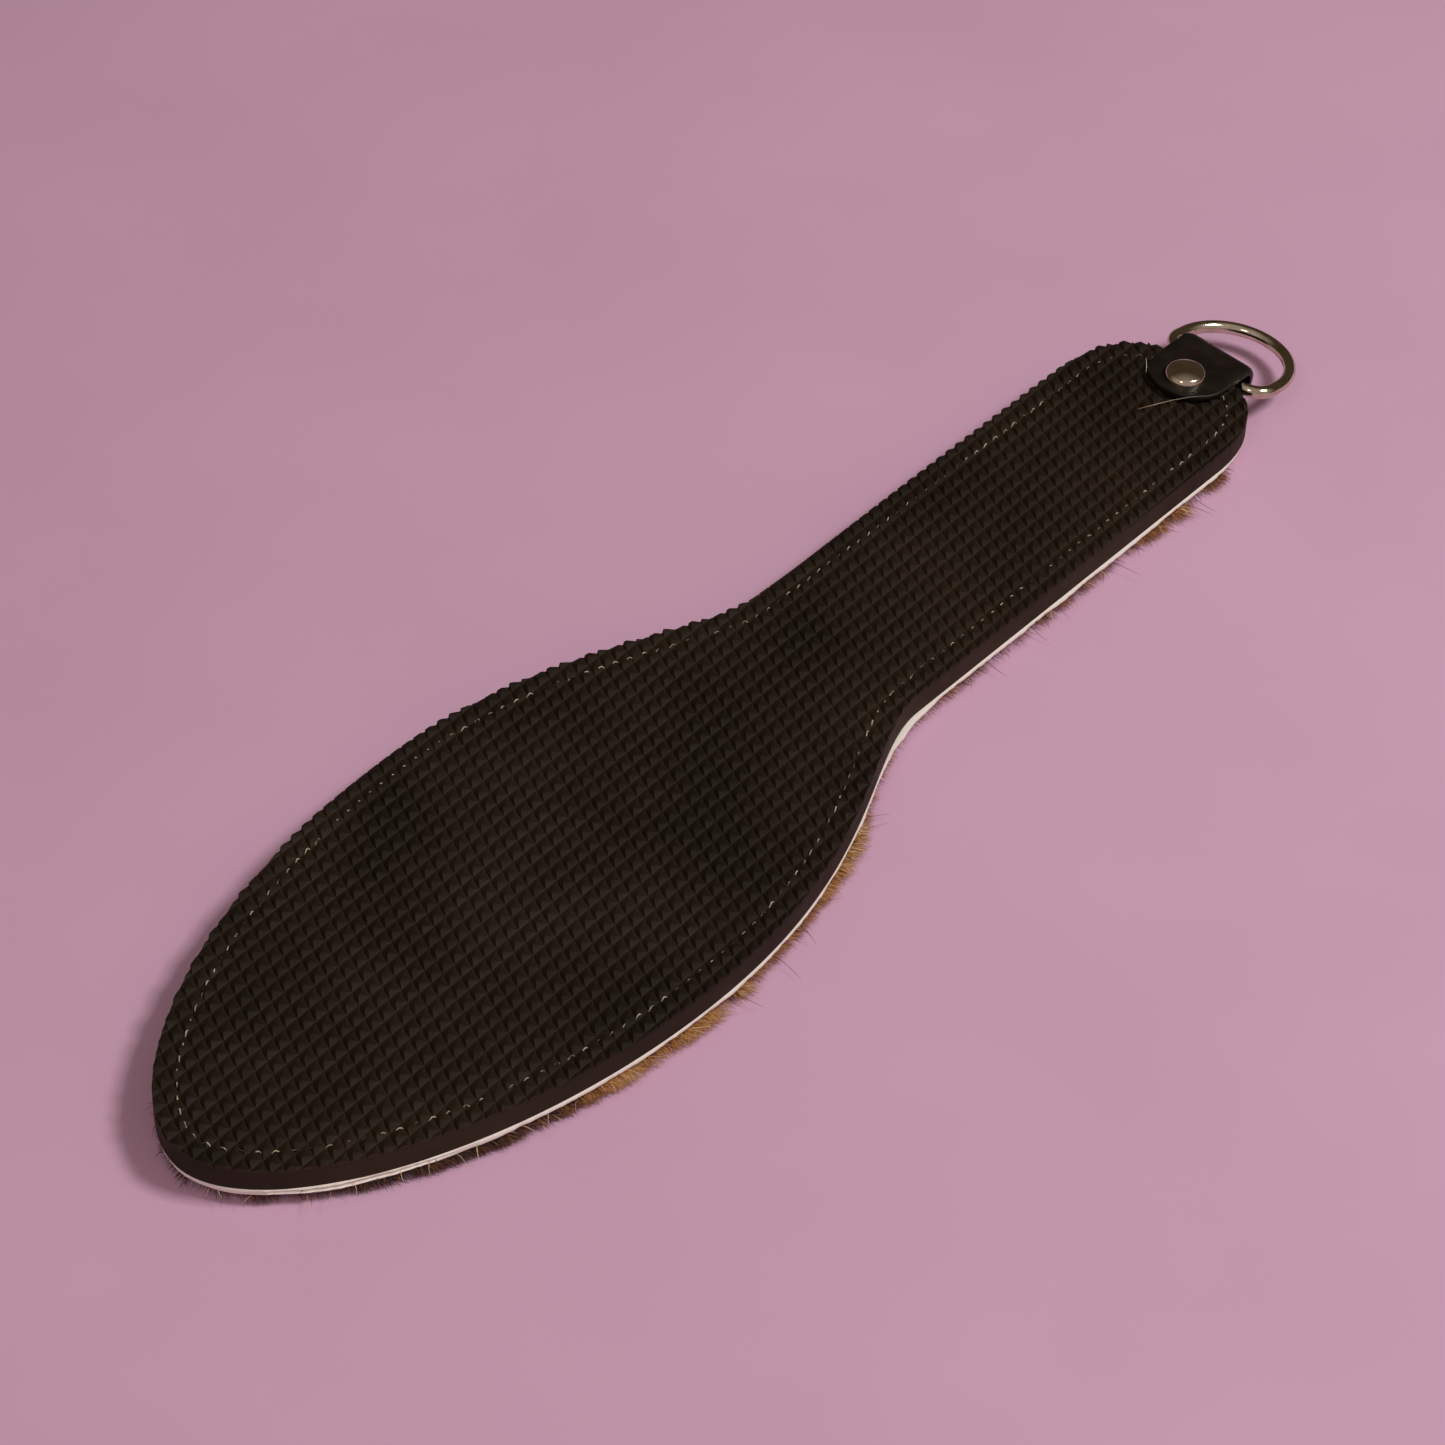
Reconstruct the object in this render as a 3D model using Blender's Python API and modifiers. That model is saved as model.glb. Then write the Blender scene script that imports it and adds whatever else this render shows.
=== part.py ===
"""Two-faced clothes brush: a studded rubber pad sewn to a hair-on hide, with a riveted tab and a D-ring.

The brush lies on its hair side. +X runs along the brush towards the ring, +Y is left of it, +Z is up.
Units are metres. The origin is under the middle of the object's box, on the surface it lies on.
"""

import math

import bmesh
import bpy
from mathutils import Vector

MM = 0.001
GAP = 0.3 * MM

# Whole object
OVERALL_LENGTH = 370.9 * MM
HAIR_OVERHANG = 1.5 * MM

# Paddle outline, measured along X from the pad's tip
X_TIP = -OVERALL_LENGTH / 2 + HAIR_OVERHANG
BODY_LENGTH = 343.6 * MM
WIDEST_AT = 110.0 * MM
HEAD_HALF_WIDTH = 49.5 * MM
NECK_AT = 205.4 * MM
HANDLE_HALF_WIDTH = 24.3 * MM
END_CORNER_AT = 320.0 * MM
END_HALF_WIDTH = 8.0 * MM

# Layers, upwards from the surface the brush lies on
HAIR_THICKNESS = 3.0 * MM
HIDE_THICKNESS = 1.3 * MM
RUBBER_THICKNESS = 6.6 * MM
HIDE_OVERHANG = 0.5 * MM

Z_HAIR_TOP = HAIR_THICKNESS
Z_HIDE_BOTTOM = Z_HAIR_TOP + GAP
Z_HIDE_TOP = Z_HIDE_BOTTOM + HIDE_THICKNESS
Z_PAD_BOTTOM = Z_HIDE_TOP + GAP
Z_PAD_TOP = Z_PAD_BOTTOM + RUBBER_THICKNESS

# Seam
SEAM_INSET = 5.0 * MM
NEEDLE_THREAD_RADIUS = 0.35 * MM
BOBBIN_THREAD_RADIUS = 0.25 * MM
NEEDLE_GROOVE_DEPTH = 1.3 * MM
BOBBIN_GROOVE_DEPTH = 0.85 * MM

# Hanging tab: one leather strip folded round the ring's bar
TAB_CENTRE_Y = -1.7 * MM
TAB_WIDTH = 20.8 * MM
TAB_THICKNESS = 1.4 * MM
TAB_INNER_END_AT = 328.2 * MM
TAB_CORNER_RADIUS = 9.5 * MM
TAB_FOLD_AT = 348.8 * MM
TAB_FOLD_RADIUS = 2.6 * MM
TAB_DIP = 0.5 * MM
Z_TAB_UPPER = Z_PAD_TOP + GAP + TAB_THICKNESS / 2
Z_TAB_LOWER = Z_HIDE_BOTTOM - GAP - TAB_THICKNESS / 2
Z_FOLD = Z_TAB_UPPER - TAB_DIP - TAB_FOLD_RADIUS

# Double-cap rivet
RIVET_AT = 335.7 * MM
RIVET_CAP_RADIUS = 5.0 * MM
RIVET_CAP_RIM = 0.4 * MM
RIVET_CAP_RISE = 1.7 * MM
RIVET_TUBE_RADIUS = 2.0 * MM
RIVET_TUBE_BORE = 1.4 * MM
RIVET_POST_RADIUS = 1.1 * MM
RIVET_FOOT_RADIUS = 4.5 * MM
RIVET_FOOT_RISE = 0.5 * MM
RIVET_HOLE_RADIUS = RIVET_TUBE_RADIUS + GAP

# D-ring of round wire, its bar lying in the fold
RING_WIRE_RADIUS = 1.6 * MM
RING_ARC_RADIUS = 15.0 * MM
RING_ARM_LENGTH = 7.0 * MM
RING_CORNER_RADIUS = 5.0 * MM
RING_BAR_AT = 346.0 * MM
RING_CENTRE_Y = -2.4 * MM
RING_DROOP = math.radians(8.0)
RING_SKEW = math.radians(-4.5)

OUTLINE_STEPS = 26


# ---------------------------------------------------------------- scene and materials

def clear_scene():
    for obj in list(bpy.data.objects):
        bpy.data.objects.remove(obj, do_unlink=True)


def make_collection(name):
    collection = bpy.data.collections.new(name)
    bpy.context.scene.collection.children.link(collection)
    return collection


def make_material(name, colour, roughness, metallic=0.0):
    material = bpy.data.materials.new(name)
    material.use_nodes = True
    shader = material.node_tree.nodes["Principled BSDF"]
    shader.inputs["Base Color"].default_value = (*colour, 1.0)
    shader.inputs["Roughness"].default_value = roughness
    shader.inputs["Metallic"].default_value = metallic
    material.diffuse_color = (*colour, 1.0)
    return material


# ---------------------------------------------------------------- outlines

def bezier(p0, p1, p2, p3, steps):
    """Points of a cubic Bezier, without its last point."""
    points = []
    for i in range(steps):
        t = i / steps
        u = 1 - t
        weights = (u ** 3, 3 * u * u * t, 3 * u * t * t, t ** 3)
        x = sum(w * p[0] for w, p in zip(weights, (p0, p1, p2, p3)))
        y = sum(w * p[1] for w, p in zip(weights, (p0, p1, p2, p3)))
        points.append((x, y))
    return points


def arc(centre, radius, start, end, steps):
    """Points on a circle from the start angle to the end angle, both included."""
    angles = [start + (end - start) * i / steps for i in range(steps + 1)]
    return [(centre[0] + radius * math.cos(a), centre[1] + radius * math.sin(a)) for a in angles]


def half_outline():
    """Upper half of the paddle, from the tip on the centre line to the blunt handle end."""
    tip = (X_TIP, 0.0)
    widest = (X_TIP + WIDEST_AT, HEAD_HALF_WIDTH)
    neck = (X_TIP + NECK_AT, HANDLE_HALF_WIDTH)
    corner = (X_TIP + END_CORNER_AT, HANDLE_HALF_WIDTH)
    end = (X_TIP + BODY_LENGTH, END_HALF_WIDTH)
    tip_pull = (tip[0], 22.5 * MM)
    head_pull = (widest[0] - 60.0 * MM, widest[1])
    shoulder_pull = (widest[0] + 52.9 * MM, widest[1])
    neck_pull = (neck[0] - 17.9 * MM, neck[1])
    corner_pull = (corner[0] + 17.5 * MM, corner[1])
    end_pull = (end[0], end[1] + 7.2 * MM)

    points = bezier(tip, tip_pull, head_pull, widest, OUTLINE_STEPS)
    points += bezier(widest, shoulder_pull, neck_pull, neck, OUTLINE_STEPS)
    points.append(neck)
    points += bezier(corner, corner_pull, end_pull, end, OUTLINE_STEPS // 2)
    points.append(end)
    return points


def paddle_outline(offset=0.0):
    """Closed paddle outline, counter-clockwise, moved outwards by the offset (inwards if negative)."""
    upper = half_outline()
    lower = [(x, -y) for x, y in reversed(upper[1:])]
    points = [Vector((x, y)) for x, y in reversed(upper + lower)]
    moved = []
    for i, point in enumerate(points):
        before = points[i - 1]
        after = points[(i + 1) % len(points)]
        along = (after - before).normalized()
        moved.append(point + Vector((along.y, -along.x)) * offset)
    return moved


def rounded_tab_outline(margin=0.0, x_end=X_TIP + TAB_FOLD_AT + TAB_FOLD_RADIUS + TAB_THICKNESS):
    """Plan of the tab: rounded corners at its inner end, square past the fold."""
    x_start = X_TIP + TAB_INNER_END_AT - margin
    y_low = TAB_CENTRE_Y - TAB_WIDTH / 2 - margin
    y_high = TAB_CENTRE_Y + TAB_WIDTH / 2 + margin
    radius = TAB_CORNER_RADIUS + margin
    points = [(x_end, y_low), (x_end, y_high)]
    points += arc((x_start + radius, y_high - radius), radius, math.pi / 2, math.pi, 8)
    points += arc((x_start + radius, y_low + radius), radius, math.pi, 3 * math.pi / 2, 8)
    return points


# ---------------------------------------------------------------- solids

def mesh_from_curve(curve_object, collection):
    """Replace a curve object by a mesh object of the same name with its caps welded on."""
    depsgraph = bpy.context.evaluated_depsgraph_get()
    mesh = bpy.data.meshes.new_from_object(curve_object.evaluated_get(depsgraph))
    name = curve_object.name
    matrix = curve_object.matrix_world.copy()
    bpy.data.objects.remove(curve_object, do_unlink=True)
    form = bmesh.new()
    form.from_mesh(mesh)
    bmesh.ops.remove_doubles(form, verts=form.verts, dist=1e-6)
    bmesh.ops.recalc_face_normals(form, faces=form.faces)
    form.to_mesh(mesh)
    form.free()
    solid = bpy.data.objects.new(name, mesh)
    mesh.name = name
    solid.matrix_world = matrix
    collection.objects.link(solid)
    return solid


def slab(name, outline, z_low, z_high, collection):
    """Flat solid of a closed outline between two heights."""
    curve = bpy.data.curves.new(name, "CURVE")
    curve.dimensions = "2D"
    curve.fill_mode = "BOTH"
    curve.extrude = (z_high - z_low) / 2
    spline = curve.splines.new("POLY")
    spline.points.add(len(outline) - 1)
    for point, (x, y) in zip(spline.points, outline):
        point.co = (x, y, 0.0, 1.0)
    spline.use_cyclic_u = True
    obj = bpy.data.objects.new(name, curve)
    collection.objects.link(obj)
    obj.location.z = (z_high + z_low) / 2
    bpy.context.view_layer.update()
    return mesh_from_curve(obj, collection)


def wire_loop(name, points, radius, roundness, collection):
    """Closed wire of round section along the points."""
    curve = bpy.data.curves.new(name, "CURVE")
    curve.dimensions = "3D"
    curve.bevel_depth = radius
    curve.bevel_resolution = roundness
    spline = curve.splines.new("POLY")
    spline.points.add(len(points) - 1)
    for point, (x, y, z) in zip(spline.points, points):
        point.co = (x, y, z, 1.0)
    spline.use_cyclic_u = True
    obj = bpy.data.objects.new(name, curve)
    collection.objects.link(obj)
    return obj


def turned(name, profile, collection, steps=40):
    """Solid of revolution about Z from (radius, height) points, top to bottom on the axis."""
    mesh = bpy.data.meshes.new(name)
    edges = [(i, i + 1) for i in range(len(profile) - 1)]
    mesh.from_pydata([(r, 0.0, z) for r, z in profile], edges, [])
    obj = bpy.data.objects.new(name, mesh)
    collection.objects.link(obj)
    screw = obj.modifiers.new("turn", "SCREW")
    screw.axis = "Z"
    screw.angle = 2 * math.pi
    screw.steps = steps
    screw.render_steps = steps
    screw.use_merge_vertices = True
    screw.merge_threshold = 1e-6
    return obj


def cylinder_cutter(name, radius, z_low, z_high, x, y, collection):
    """Upright round cutter."""
    form = bmesh.new()
    bmesh.ops.create_cone(form, cap_ends=True, segments=32, radius1=radius, radius2=radius,
                          depth=z_high - z_low)
    mesh = bpy.data.meshes.new(name)
    form.to_mesh(mesh)
    form.free()
    obj = bpy.data.objects.new(name, mesh)
    obj.location = (x, y, (z_low + z_high) / 2)
    collection.objects.link(obj)
    return obj


def as_cutter(obj):
    obj.hide_render = True
    obj.display_type = "WIRE"
    return obj


def boolean(target, cutter, operation="DIFFERENCE"):
    modifier = target.modifiers.new(cutter.name, "BOOLEAN")
    modifier.operation = operation
    modifier.solver = "EXACT"
    modifier.object = cutter
    as_cutter(cutter)


def ring_groove(name, half_width, z_low, z_high, cutters):
    """Cutter for a channel that follows the seam: a slab with its middle taken out."""
    outer = slab(name, paddle_outline(-SEAM_INSET + half_width), z_low, z_high, cutters)
    inner = slab(name + "_middle", paddle_outline(-SEAM_INSET - half_width),
                 z_low - MM, z_high + MM, cutters)
    boolean(outer, inner)
    return outer


def dress(obj, material, smooth=False):
    obj.data.materials.clear()
    obj.data.materials.append(material)
    if smooth and obj.type == "MESH":
        obj.data.shade_smooth()
        obj.data.set_sharp_from_angle(angle=math.radians(35))


# ---------------------------------------------------------------- the pieces

def build_rubber_pad(parts, cutters, rivet_hole):
    pad = slab("rubber_pad", paddle_outline(), Z_PAD_BOTTOM, Z_PAD_TOP, parts)
    half_width = NEEDLE_THREAD_RADIUS + GAP
    groove = ring_groove("needle_groove", half_width, Z_PAD_TOP - NEEDLE_GROOVE_DEPTH, Z_PAD_TOP + MM, cutters)
    boolean(pad, groove)
    boolean(pad, rivet_hole)
    dress(pad, make_material("black_rubber", (0.012, 0.010, 0.009), 0.6))


def build_hide(parts, cutters, rivet_hole):
    hide = slab("hide_backing", paddle_outline(HIDE_OVERHANG), Z_HIDE_BOTTOM, Z_HIDE_TOP, parts)
    half_width = BOBBIN_THREAD_RADIUS + GAP
    groove = ring_groove("bobbin_groove", half_width, Z_HIDE_BOTTOM - MM, Z_HIDE_BOTTOM + BOBBIN_GROOVE_DEPTH,
                         cutters)
    boolean(hide, groove)
    boolean(hide, rivet_hole)
    dress(hide, make_material("raw_hide", (0.78, 0.72, 0.64), 0.8))


def build_hair(parts, cutters):
    """Pressed pile, parted where the tab's lower leg lies on the skin."""
    hair = slab("hair_pile", paddle_outline(HAIR_OVERHANG), 0.0, Z_HAIR_TOP, parts)
    parting = slab("hair_parting", rounded_tab_outline(margin=GAP), -MM, Z_HAIR_TOP + MM, cutters)
    boolean(hair, parting)
    dress(hair, make_material("calf_hair", (0.20, 0.09, 0.04), 0.8))


def build_threads(parts):
    """Upper and lower thread of the lock-stitched seam, each one closed loop."""
    path = paddle_outline(-SEAM_INSET)
    z_needle = Z_PAD_TOP - NEEDLE_GROOVE_DEPTH + GAP + NEEDLE_THREAD_RADIUS
    z_bobbin = Z_HIDE_BOTTOM + BOBBIN_GROOVE_DEPTH - GAP - BOBBIN_THREAD_RADIUS
    thread = make_material("waxed_thread", (0.62, 0.57, 0.40), 0.7)
    needle = wire_loop("needle_thread", [(p.x, p.y, z_needle) for p in path], NEEDLE_THREAD_RADIUS, 1, parts)
    bobbin = wire_loop("bobbin_thread", [(p.x, p.y, z_bobbin) for p in path], BOBBIN_THREAD_RADIUS, 1, parts)
    dress(needle, thread)
    dress(bobbin, thread)


def tab_centre_line():
    """Side view of the strip (x, z): upper leg, fold round the bar, lower leg down to the skin."""
    x_start = X_TIP + TAB_INNER_END_AT
    x_fold = X_TIP + TAB_FOLD_AT
    x_dip = X_TIP + BODY_LENGTH + GAP
    z_top = Z_FOLD + TAB_FOLD_RADIUS
    x_mid = (x_dip + x_fold) / 2
    points = [(x_start, Z_TAB_UPPER)]
    points += bezier((x_dip, Z_TAB_UPPER), (x_mid, Z_TAB_UPPER), (x_mid, z_top), (x_fold, z_top), 6)
    points += arc((x_fold, Z_FOLD), TAB_FOLD_RADIUS, math.pi / 2, -math.pi / 2, 14)
    start = points.pop()
    x_flat = x_fold - 5.4 * MM
    points += bezier(start, (x_fold - 3.6 * MM, start[1]), (x_fold, Z_TAB_LOWER), (x_flat, Z_TAB_LOWER), 12)
    points.append((x_flat, Z_TAB_LOWER))
    points.append((x_start, Z_TAB_LOWER))
    return [Vector(point) for point in points]


def strip_outline(centre_line, thickness):
    """Closed side view of a strip from its centre line."""
    left = []
    right = []
    for i, point in enumerate(centre_line):
        before = centre_line[max(i - 1, 0)]
        after = centre_line[min(i + 1, len(centre_line) - 1)]
        along = (after - before).normalized()
        side = Vector((-along.y, along.x)) * (thickness / 2)
        left.append(point + side)
        right.append(point - side)
    return left + right[::-1]


def build_tab(parts, cutters, rivet_hole):
    side_view = strip_outline(tab_centre_line(), TAB_THICKNESS)
    tab = slab("hanging_tab", side_view, -TAB_WIDTH / 2, TAB_WIDTH / 2, parts)
    tab.rotation_euler = (math.pi / 2, 0.0, 0.0)
    tab.location = (0.0, TAB_CENTRE_Y, 0.0)
    plan = slab("tab_plan", rounded_tab_outline(), Z_TAB_LOWER - 5 * MM, Z_TAB_UPPER + 5 * MM, cutters)
    boolean(tab, plan, "INTERSECT")
    boolean(tab, rivet_hole)
    dress(tab, make_material("black_leather", (0.014, 0.011, 0.011), 0.45))


def dome(radius, z_rim, rise, steps=8):
    """Profile of a shallow spherical cap from the rim to the axis, without the rim point."""
    sphere = (radius ** 2 + rise ** 2) / (2 * abs(rise))
    sign = 1.0 if rise > 0 else -1.0
    points = []
    for i in range(1, steps + 1):
        r = radius * (1 - i / steps)
        height = math.sqrt(sphere ** 2 - r ** 2) - (sphere - abs(rise))
        points.append((r, z_rim + sign * height))
    return points


def build_rivet(parts):
    """Upper cap with its tube, and the lower cap with the post that is pressed up into the tube."""
    x_rivet = X_TIP + RIVET_AT
    z_seat = Z_TAB_UPPER + TAB_THICKNESS / 2 + GAP
    z_rim = z_seat + RIVET_CAP_RIM
    z_foot = Z_TAB_LOWER - TAB_THICKNESS / 2 - GAP
    z_foot_rim = z_foot - RIVET_CAP_RIM
    z_tube_end = Z_PAD_BOTTOM + 2.0 * MM
    nickel = make_material("polished_nickel", (0.72, 0.66, 0.58), 0.12, 1.0)

    top = list(reversed(dome(RIVET_CAP_RADIUS, z_rim, RIVET_CAP_RISE)))
    cap = top + [
        (RIVET_CAP_RADIUS, z_rim),
        (RIVET_CAP_RADIUS, z_seat),
        (RIVET_TUBE_RADIUS, z_seat),
        (RIVET_TUBE_RADIUS, z_tube_end),
        (RIVET_TUBE_BORE, z_tube_end),
        (RIVET_TUBE_BORE, z_rim),
        (0.0, z_rim),
    ]
    post = [
        (0.0, z_rim - 2 * GAP),
        (RIVET_POST_RADIUS, z_rim - 2 * GAP),
        (RIVET_POST_RADIUS, z_foot),
        (RIVET_FOOT_RADIUS, z_foot),
        (RIVET_FOOT_RADIUS, z_foot_rim),
    ] + dome(RIVET_FOOT_RADIUS, z_foot_rim, -RIVET_FOOT_RISE)

    for name, profile in (("rivet_cap", cap), ("rivet_post", post)):
        piece = turned(name, profile, parts)
        piece.location = (x_rivet, TAB_CENTRE_Y, 0.0)
        dress(piece, nickel)


def ring_centre_line():
    """D shape about the bar's middle: the bar along Y at x = 0, the arc towards +X."""
    half = RING_ARC_RADIUS
    corner = RING_CORNER_RADIUS
    points = arc((RING_ARM_LENGTH, 0.0), half, -math.pi / 2, math.pi / 2, 32)
    points += arc((corner, half - corner), corner, math.pi / 2, math.pi, 7)
    points += [(0.0, (half - corner) * i / 3) for i in (1, -1)]
    points += arc((corner, corner - half), corner, math.pi, 3 * math.pi / 2, 7)
    return [(x, y, 0.0) for x, y in points]


def build_ring(parts):
    """D-ring hung on an empty at its bar, which is the hinge's axis."""
    hinge = bpy.data.objects.new("ring_hinge", None)
    parts.objects.link(hinge)
    hinge.location = (X_TIP + RING_BAR_AT, RING_CENTRE_Y, Z_FOLD)
    hinge.rotation_euler = (0.0, RING_DROOP, RING_SKEW)
    ring = wire_loop("d_ring", ring_centre_line(), RING_WIRE_RADIUS, 4, parts)
    ring.parent = hinge
    dress(ring, make_material("nickel_wire", (0.66, 0.60, 0.52), 0.15, 1.0))


def main():
    clear_scene()
    parts = make_collection("clothes_brush")
    cutters = make_collection("cutters")
    rivet_hole = cylinder_cutter("rivet_hole", RIVET_HOLE_RADIUS, -5 * MM, Z_TAB_UPPER + 5 * MM,
                                 X_TIP + RIVET_AT, TAB_CENTRE_Y, cutters)
    build_rubber_pad(parts, cutters, rivet_hole)
    build_hide(parts, cutters, rivet_hole)
    build_hair(parts, cutters)
    build_threads(parts)
    build_tab(parts, cutters, rivet_hole)
    build_rivet(parts)
    build_ring(parts)


main()
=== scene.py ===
"""Looks for the two-faced clothes brush: a studded rubber pad sewn to a hair-on hide, with a riveted tab.

Sizes are in millimetres in the classes and become metres when a mesh is made. +X runs along the brush
towards its D-ring, +Z is up, and the brush lies on its hair side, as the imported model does.
"""

import logging
import math
from dataclasses import dataclass, field
from enum import Enum

import bmesh
import bpy
import numpy as np
from mathutils import Euler, Matrix, Vector, noise


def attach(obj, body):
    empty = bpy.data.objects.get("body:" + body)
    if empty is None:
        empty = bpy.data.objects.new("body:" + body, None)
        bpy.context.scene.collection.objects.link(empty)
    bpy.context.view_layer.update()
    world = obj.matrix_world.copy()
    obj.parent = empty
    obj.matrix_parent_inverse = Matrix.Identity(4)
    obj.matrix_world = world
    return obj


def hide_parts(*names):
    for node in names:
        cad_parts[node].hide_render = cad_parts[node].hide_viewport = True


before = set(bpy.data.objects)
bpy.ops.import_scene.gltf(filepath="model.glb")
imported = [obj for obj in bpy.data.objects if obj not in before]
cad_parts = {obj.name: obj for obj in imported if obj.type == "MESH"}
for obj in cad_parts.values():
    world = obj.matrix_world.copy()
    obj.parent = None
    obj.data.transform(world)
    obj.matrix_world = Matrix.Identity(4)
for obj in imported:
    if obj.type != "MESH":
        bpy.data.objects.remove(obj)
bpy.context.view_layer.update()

MM = 0.001
# The noise rarely passes 1 / 1.6, so this brings it to about one.
NOISE_GAIN = 1.6
LOG = logging.getLogger("clothes_brush")

Faces = list[tuple[int, ...]]
Colour = tuple[float, float, float, float]


class Body(Enum):
    """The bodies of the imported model."""

    BRUSH = "brush"
    RING = "ring"


class Slot(Enum):
    """The record's material slots."""

    RUBBER = "rubber"
    HIDE = "raw_hide"
    HAIR = "hair"
    THREAD = "thread"
    LEATHER = "leather"
    NICKEL = "nickel"


# ---------------------------------------------------------------- materials

def linear(hex_colour: str) -> Colour:
    """Turns an sRGB hex colour into a linear one.

    Args:
        hex_colour: Six hex digits, with or without a leading #.

    Returns:
        Red, green, blue and alpha in linear light.
    """
    digits = hex_colour.lstrip("#")
    channels = [int(digits[i:i + 2], 16) / 255 for i in (0, 2, 4)]
    red, green, blue = (c / 12.92 if c <= 0.04045 else ((c + 0.055) / 1.055) ** 2.4 for c in channels)
    return (red, green, blue, 1.0)


def per_mm(size: float) -> float:
    """Texture scale in object metres for features of this size in millimetres."""
    return 1.0 / (size * MM)


def add_node(tree: bpy.types.NodeTree, kind: str, inputs: dict | None = None,
             stops: list[tuple[float, str]] | None = None, **settings) -> bpy.types.Node:
    """Adds a node with its settings and links.

    Args:
        tree: The material's node tree.
        kind: Blender's name for the node type.
        inputs: A value or an output socket for each named or numbered input.
        stops: Positions and hex colours, for a colour ramp.
        **settings: Attributes of the node itself.

    Returns:
        The new node.
    """
    node = tree.nodes.new(kind)
    for name, value in settings.items():
        setattr(node, name, value)
    for key, value in (inputs or {}).items():
        if isinstance(value, bpy.types.NodeSocket):
            tree.links.new(value, node.inputs[key])
        else:
            node.inputs[key].default_value = value
    if stops:
        elements = node.color_ramp.elements
        while len(elements) < len(stops):
            elements.new(1.0)
        for element, (position, colour) in zip(elements, stops):
            element.position = position
            element.color = linear(colour)
    return node


@dataclass(frozen=True)
class Finish:
    """A surface finish. Each kind of finish lays its own nodes."""

    name: str
    roughness: float
    metallic: float = 0.0
    ior: float = 1.5

    def material(self) -> bpy.types.Material:
        """Makes the material once, and finds it again after that.

        Returns:
            The finish as a Blender material.
        """
        known = bpy.data.materials.get(self.name)
        if known:
            return known
        material = bpy.data.materials.new(self.name)
        material.use_nodes = True
        shader = material.node_tree.nodes["Principled BSDF"]
        shader.inputs["Roughness"].default_value = self.roughness
        shader.inputs["Metallic"].default_value = self.metallic
        shader.inputs["IOR"].default_value = self.ior
        self.lay(material.node_tree, shader)
        return material

    def lay(self, tree: bpy.types.NodeTree, shader: bpy.types.Node) -> None:
        """Lays the finish's nodes. Every finish has its own.

        Args:
            tree: The material's node tree.
            shader: Its Principled shader.
        """
        raise NotImplementedError

    def spots(self, tree: bpy.types.NodeTree, size: float, detail: float = 3.0) -> bpy.types.NodeSocket:
        """Noise in the object's own space.

        Args:
            tree: The material's node tree.
            size: Feature size in millimetres.
            detail: Octaves of noise.

        Returns:
            The noise value, about 0.3 to 0.7.
        """
        place = add_node(tree, "ShaderNodeTexCoord").outputs["Object"]
        cloud = add_node(tree, "ShaderNodeTexNoise",
                         {"Vector": place, "Scale": per_mm(size), "Detail": detail})
        return cloud.outputs["Fac"]

    def vary(self, tree: bpy.types.NodeTree, shader: bpy.types.Node, value: bpy.types.NodeSocket,
             spread: float) -> None:
        """Lets the roughness wander about its middle value.

        Args:
            tree: The material's node tree.
            shader: Its Principled shader.
            value: The noise that drives it.
            spread: How far it goes to each side.
        """
        wander = add_node(tree, "ShaderNodeMapRange",
                          {"Value": value, "From Min": 0.3, "From Max": 0.7,
                           "To Min": self.roughness - spread, "To Max": self.roughness + spread})
        tree.links.new(wander.outputs["Result"], shader.inputs["Roughness"])

    def raise_by(self, tree: bpy.types.NodeTree, shader: bpy.types.Node, height: bpy.types.NodeSocket,
                 depth: float, strength: float = 0.6) -> None:
        """Turns a height into bump.

        Args:
            tree: The material's node tree.
            shader: Its Principled shader.
            height: The height signal, 0 to 1.
            depth: What 1 stands for, in millimetres.
            strength: The share of the bump that is used.
        """
        bump = add_node(tree, "ShaderNodeBump",
                        {"Height": height, "Distance": depth * MM, "Strength": strength})
        tree.links.new(bump.outputs["Normal"], shader.inputs["Normal"])


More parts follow.
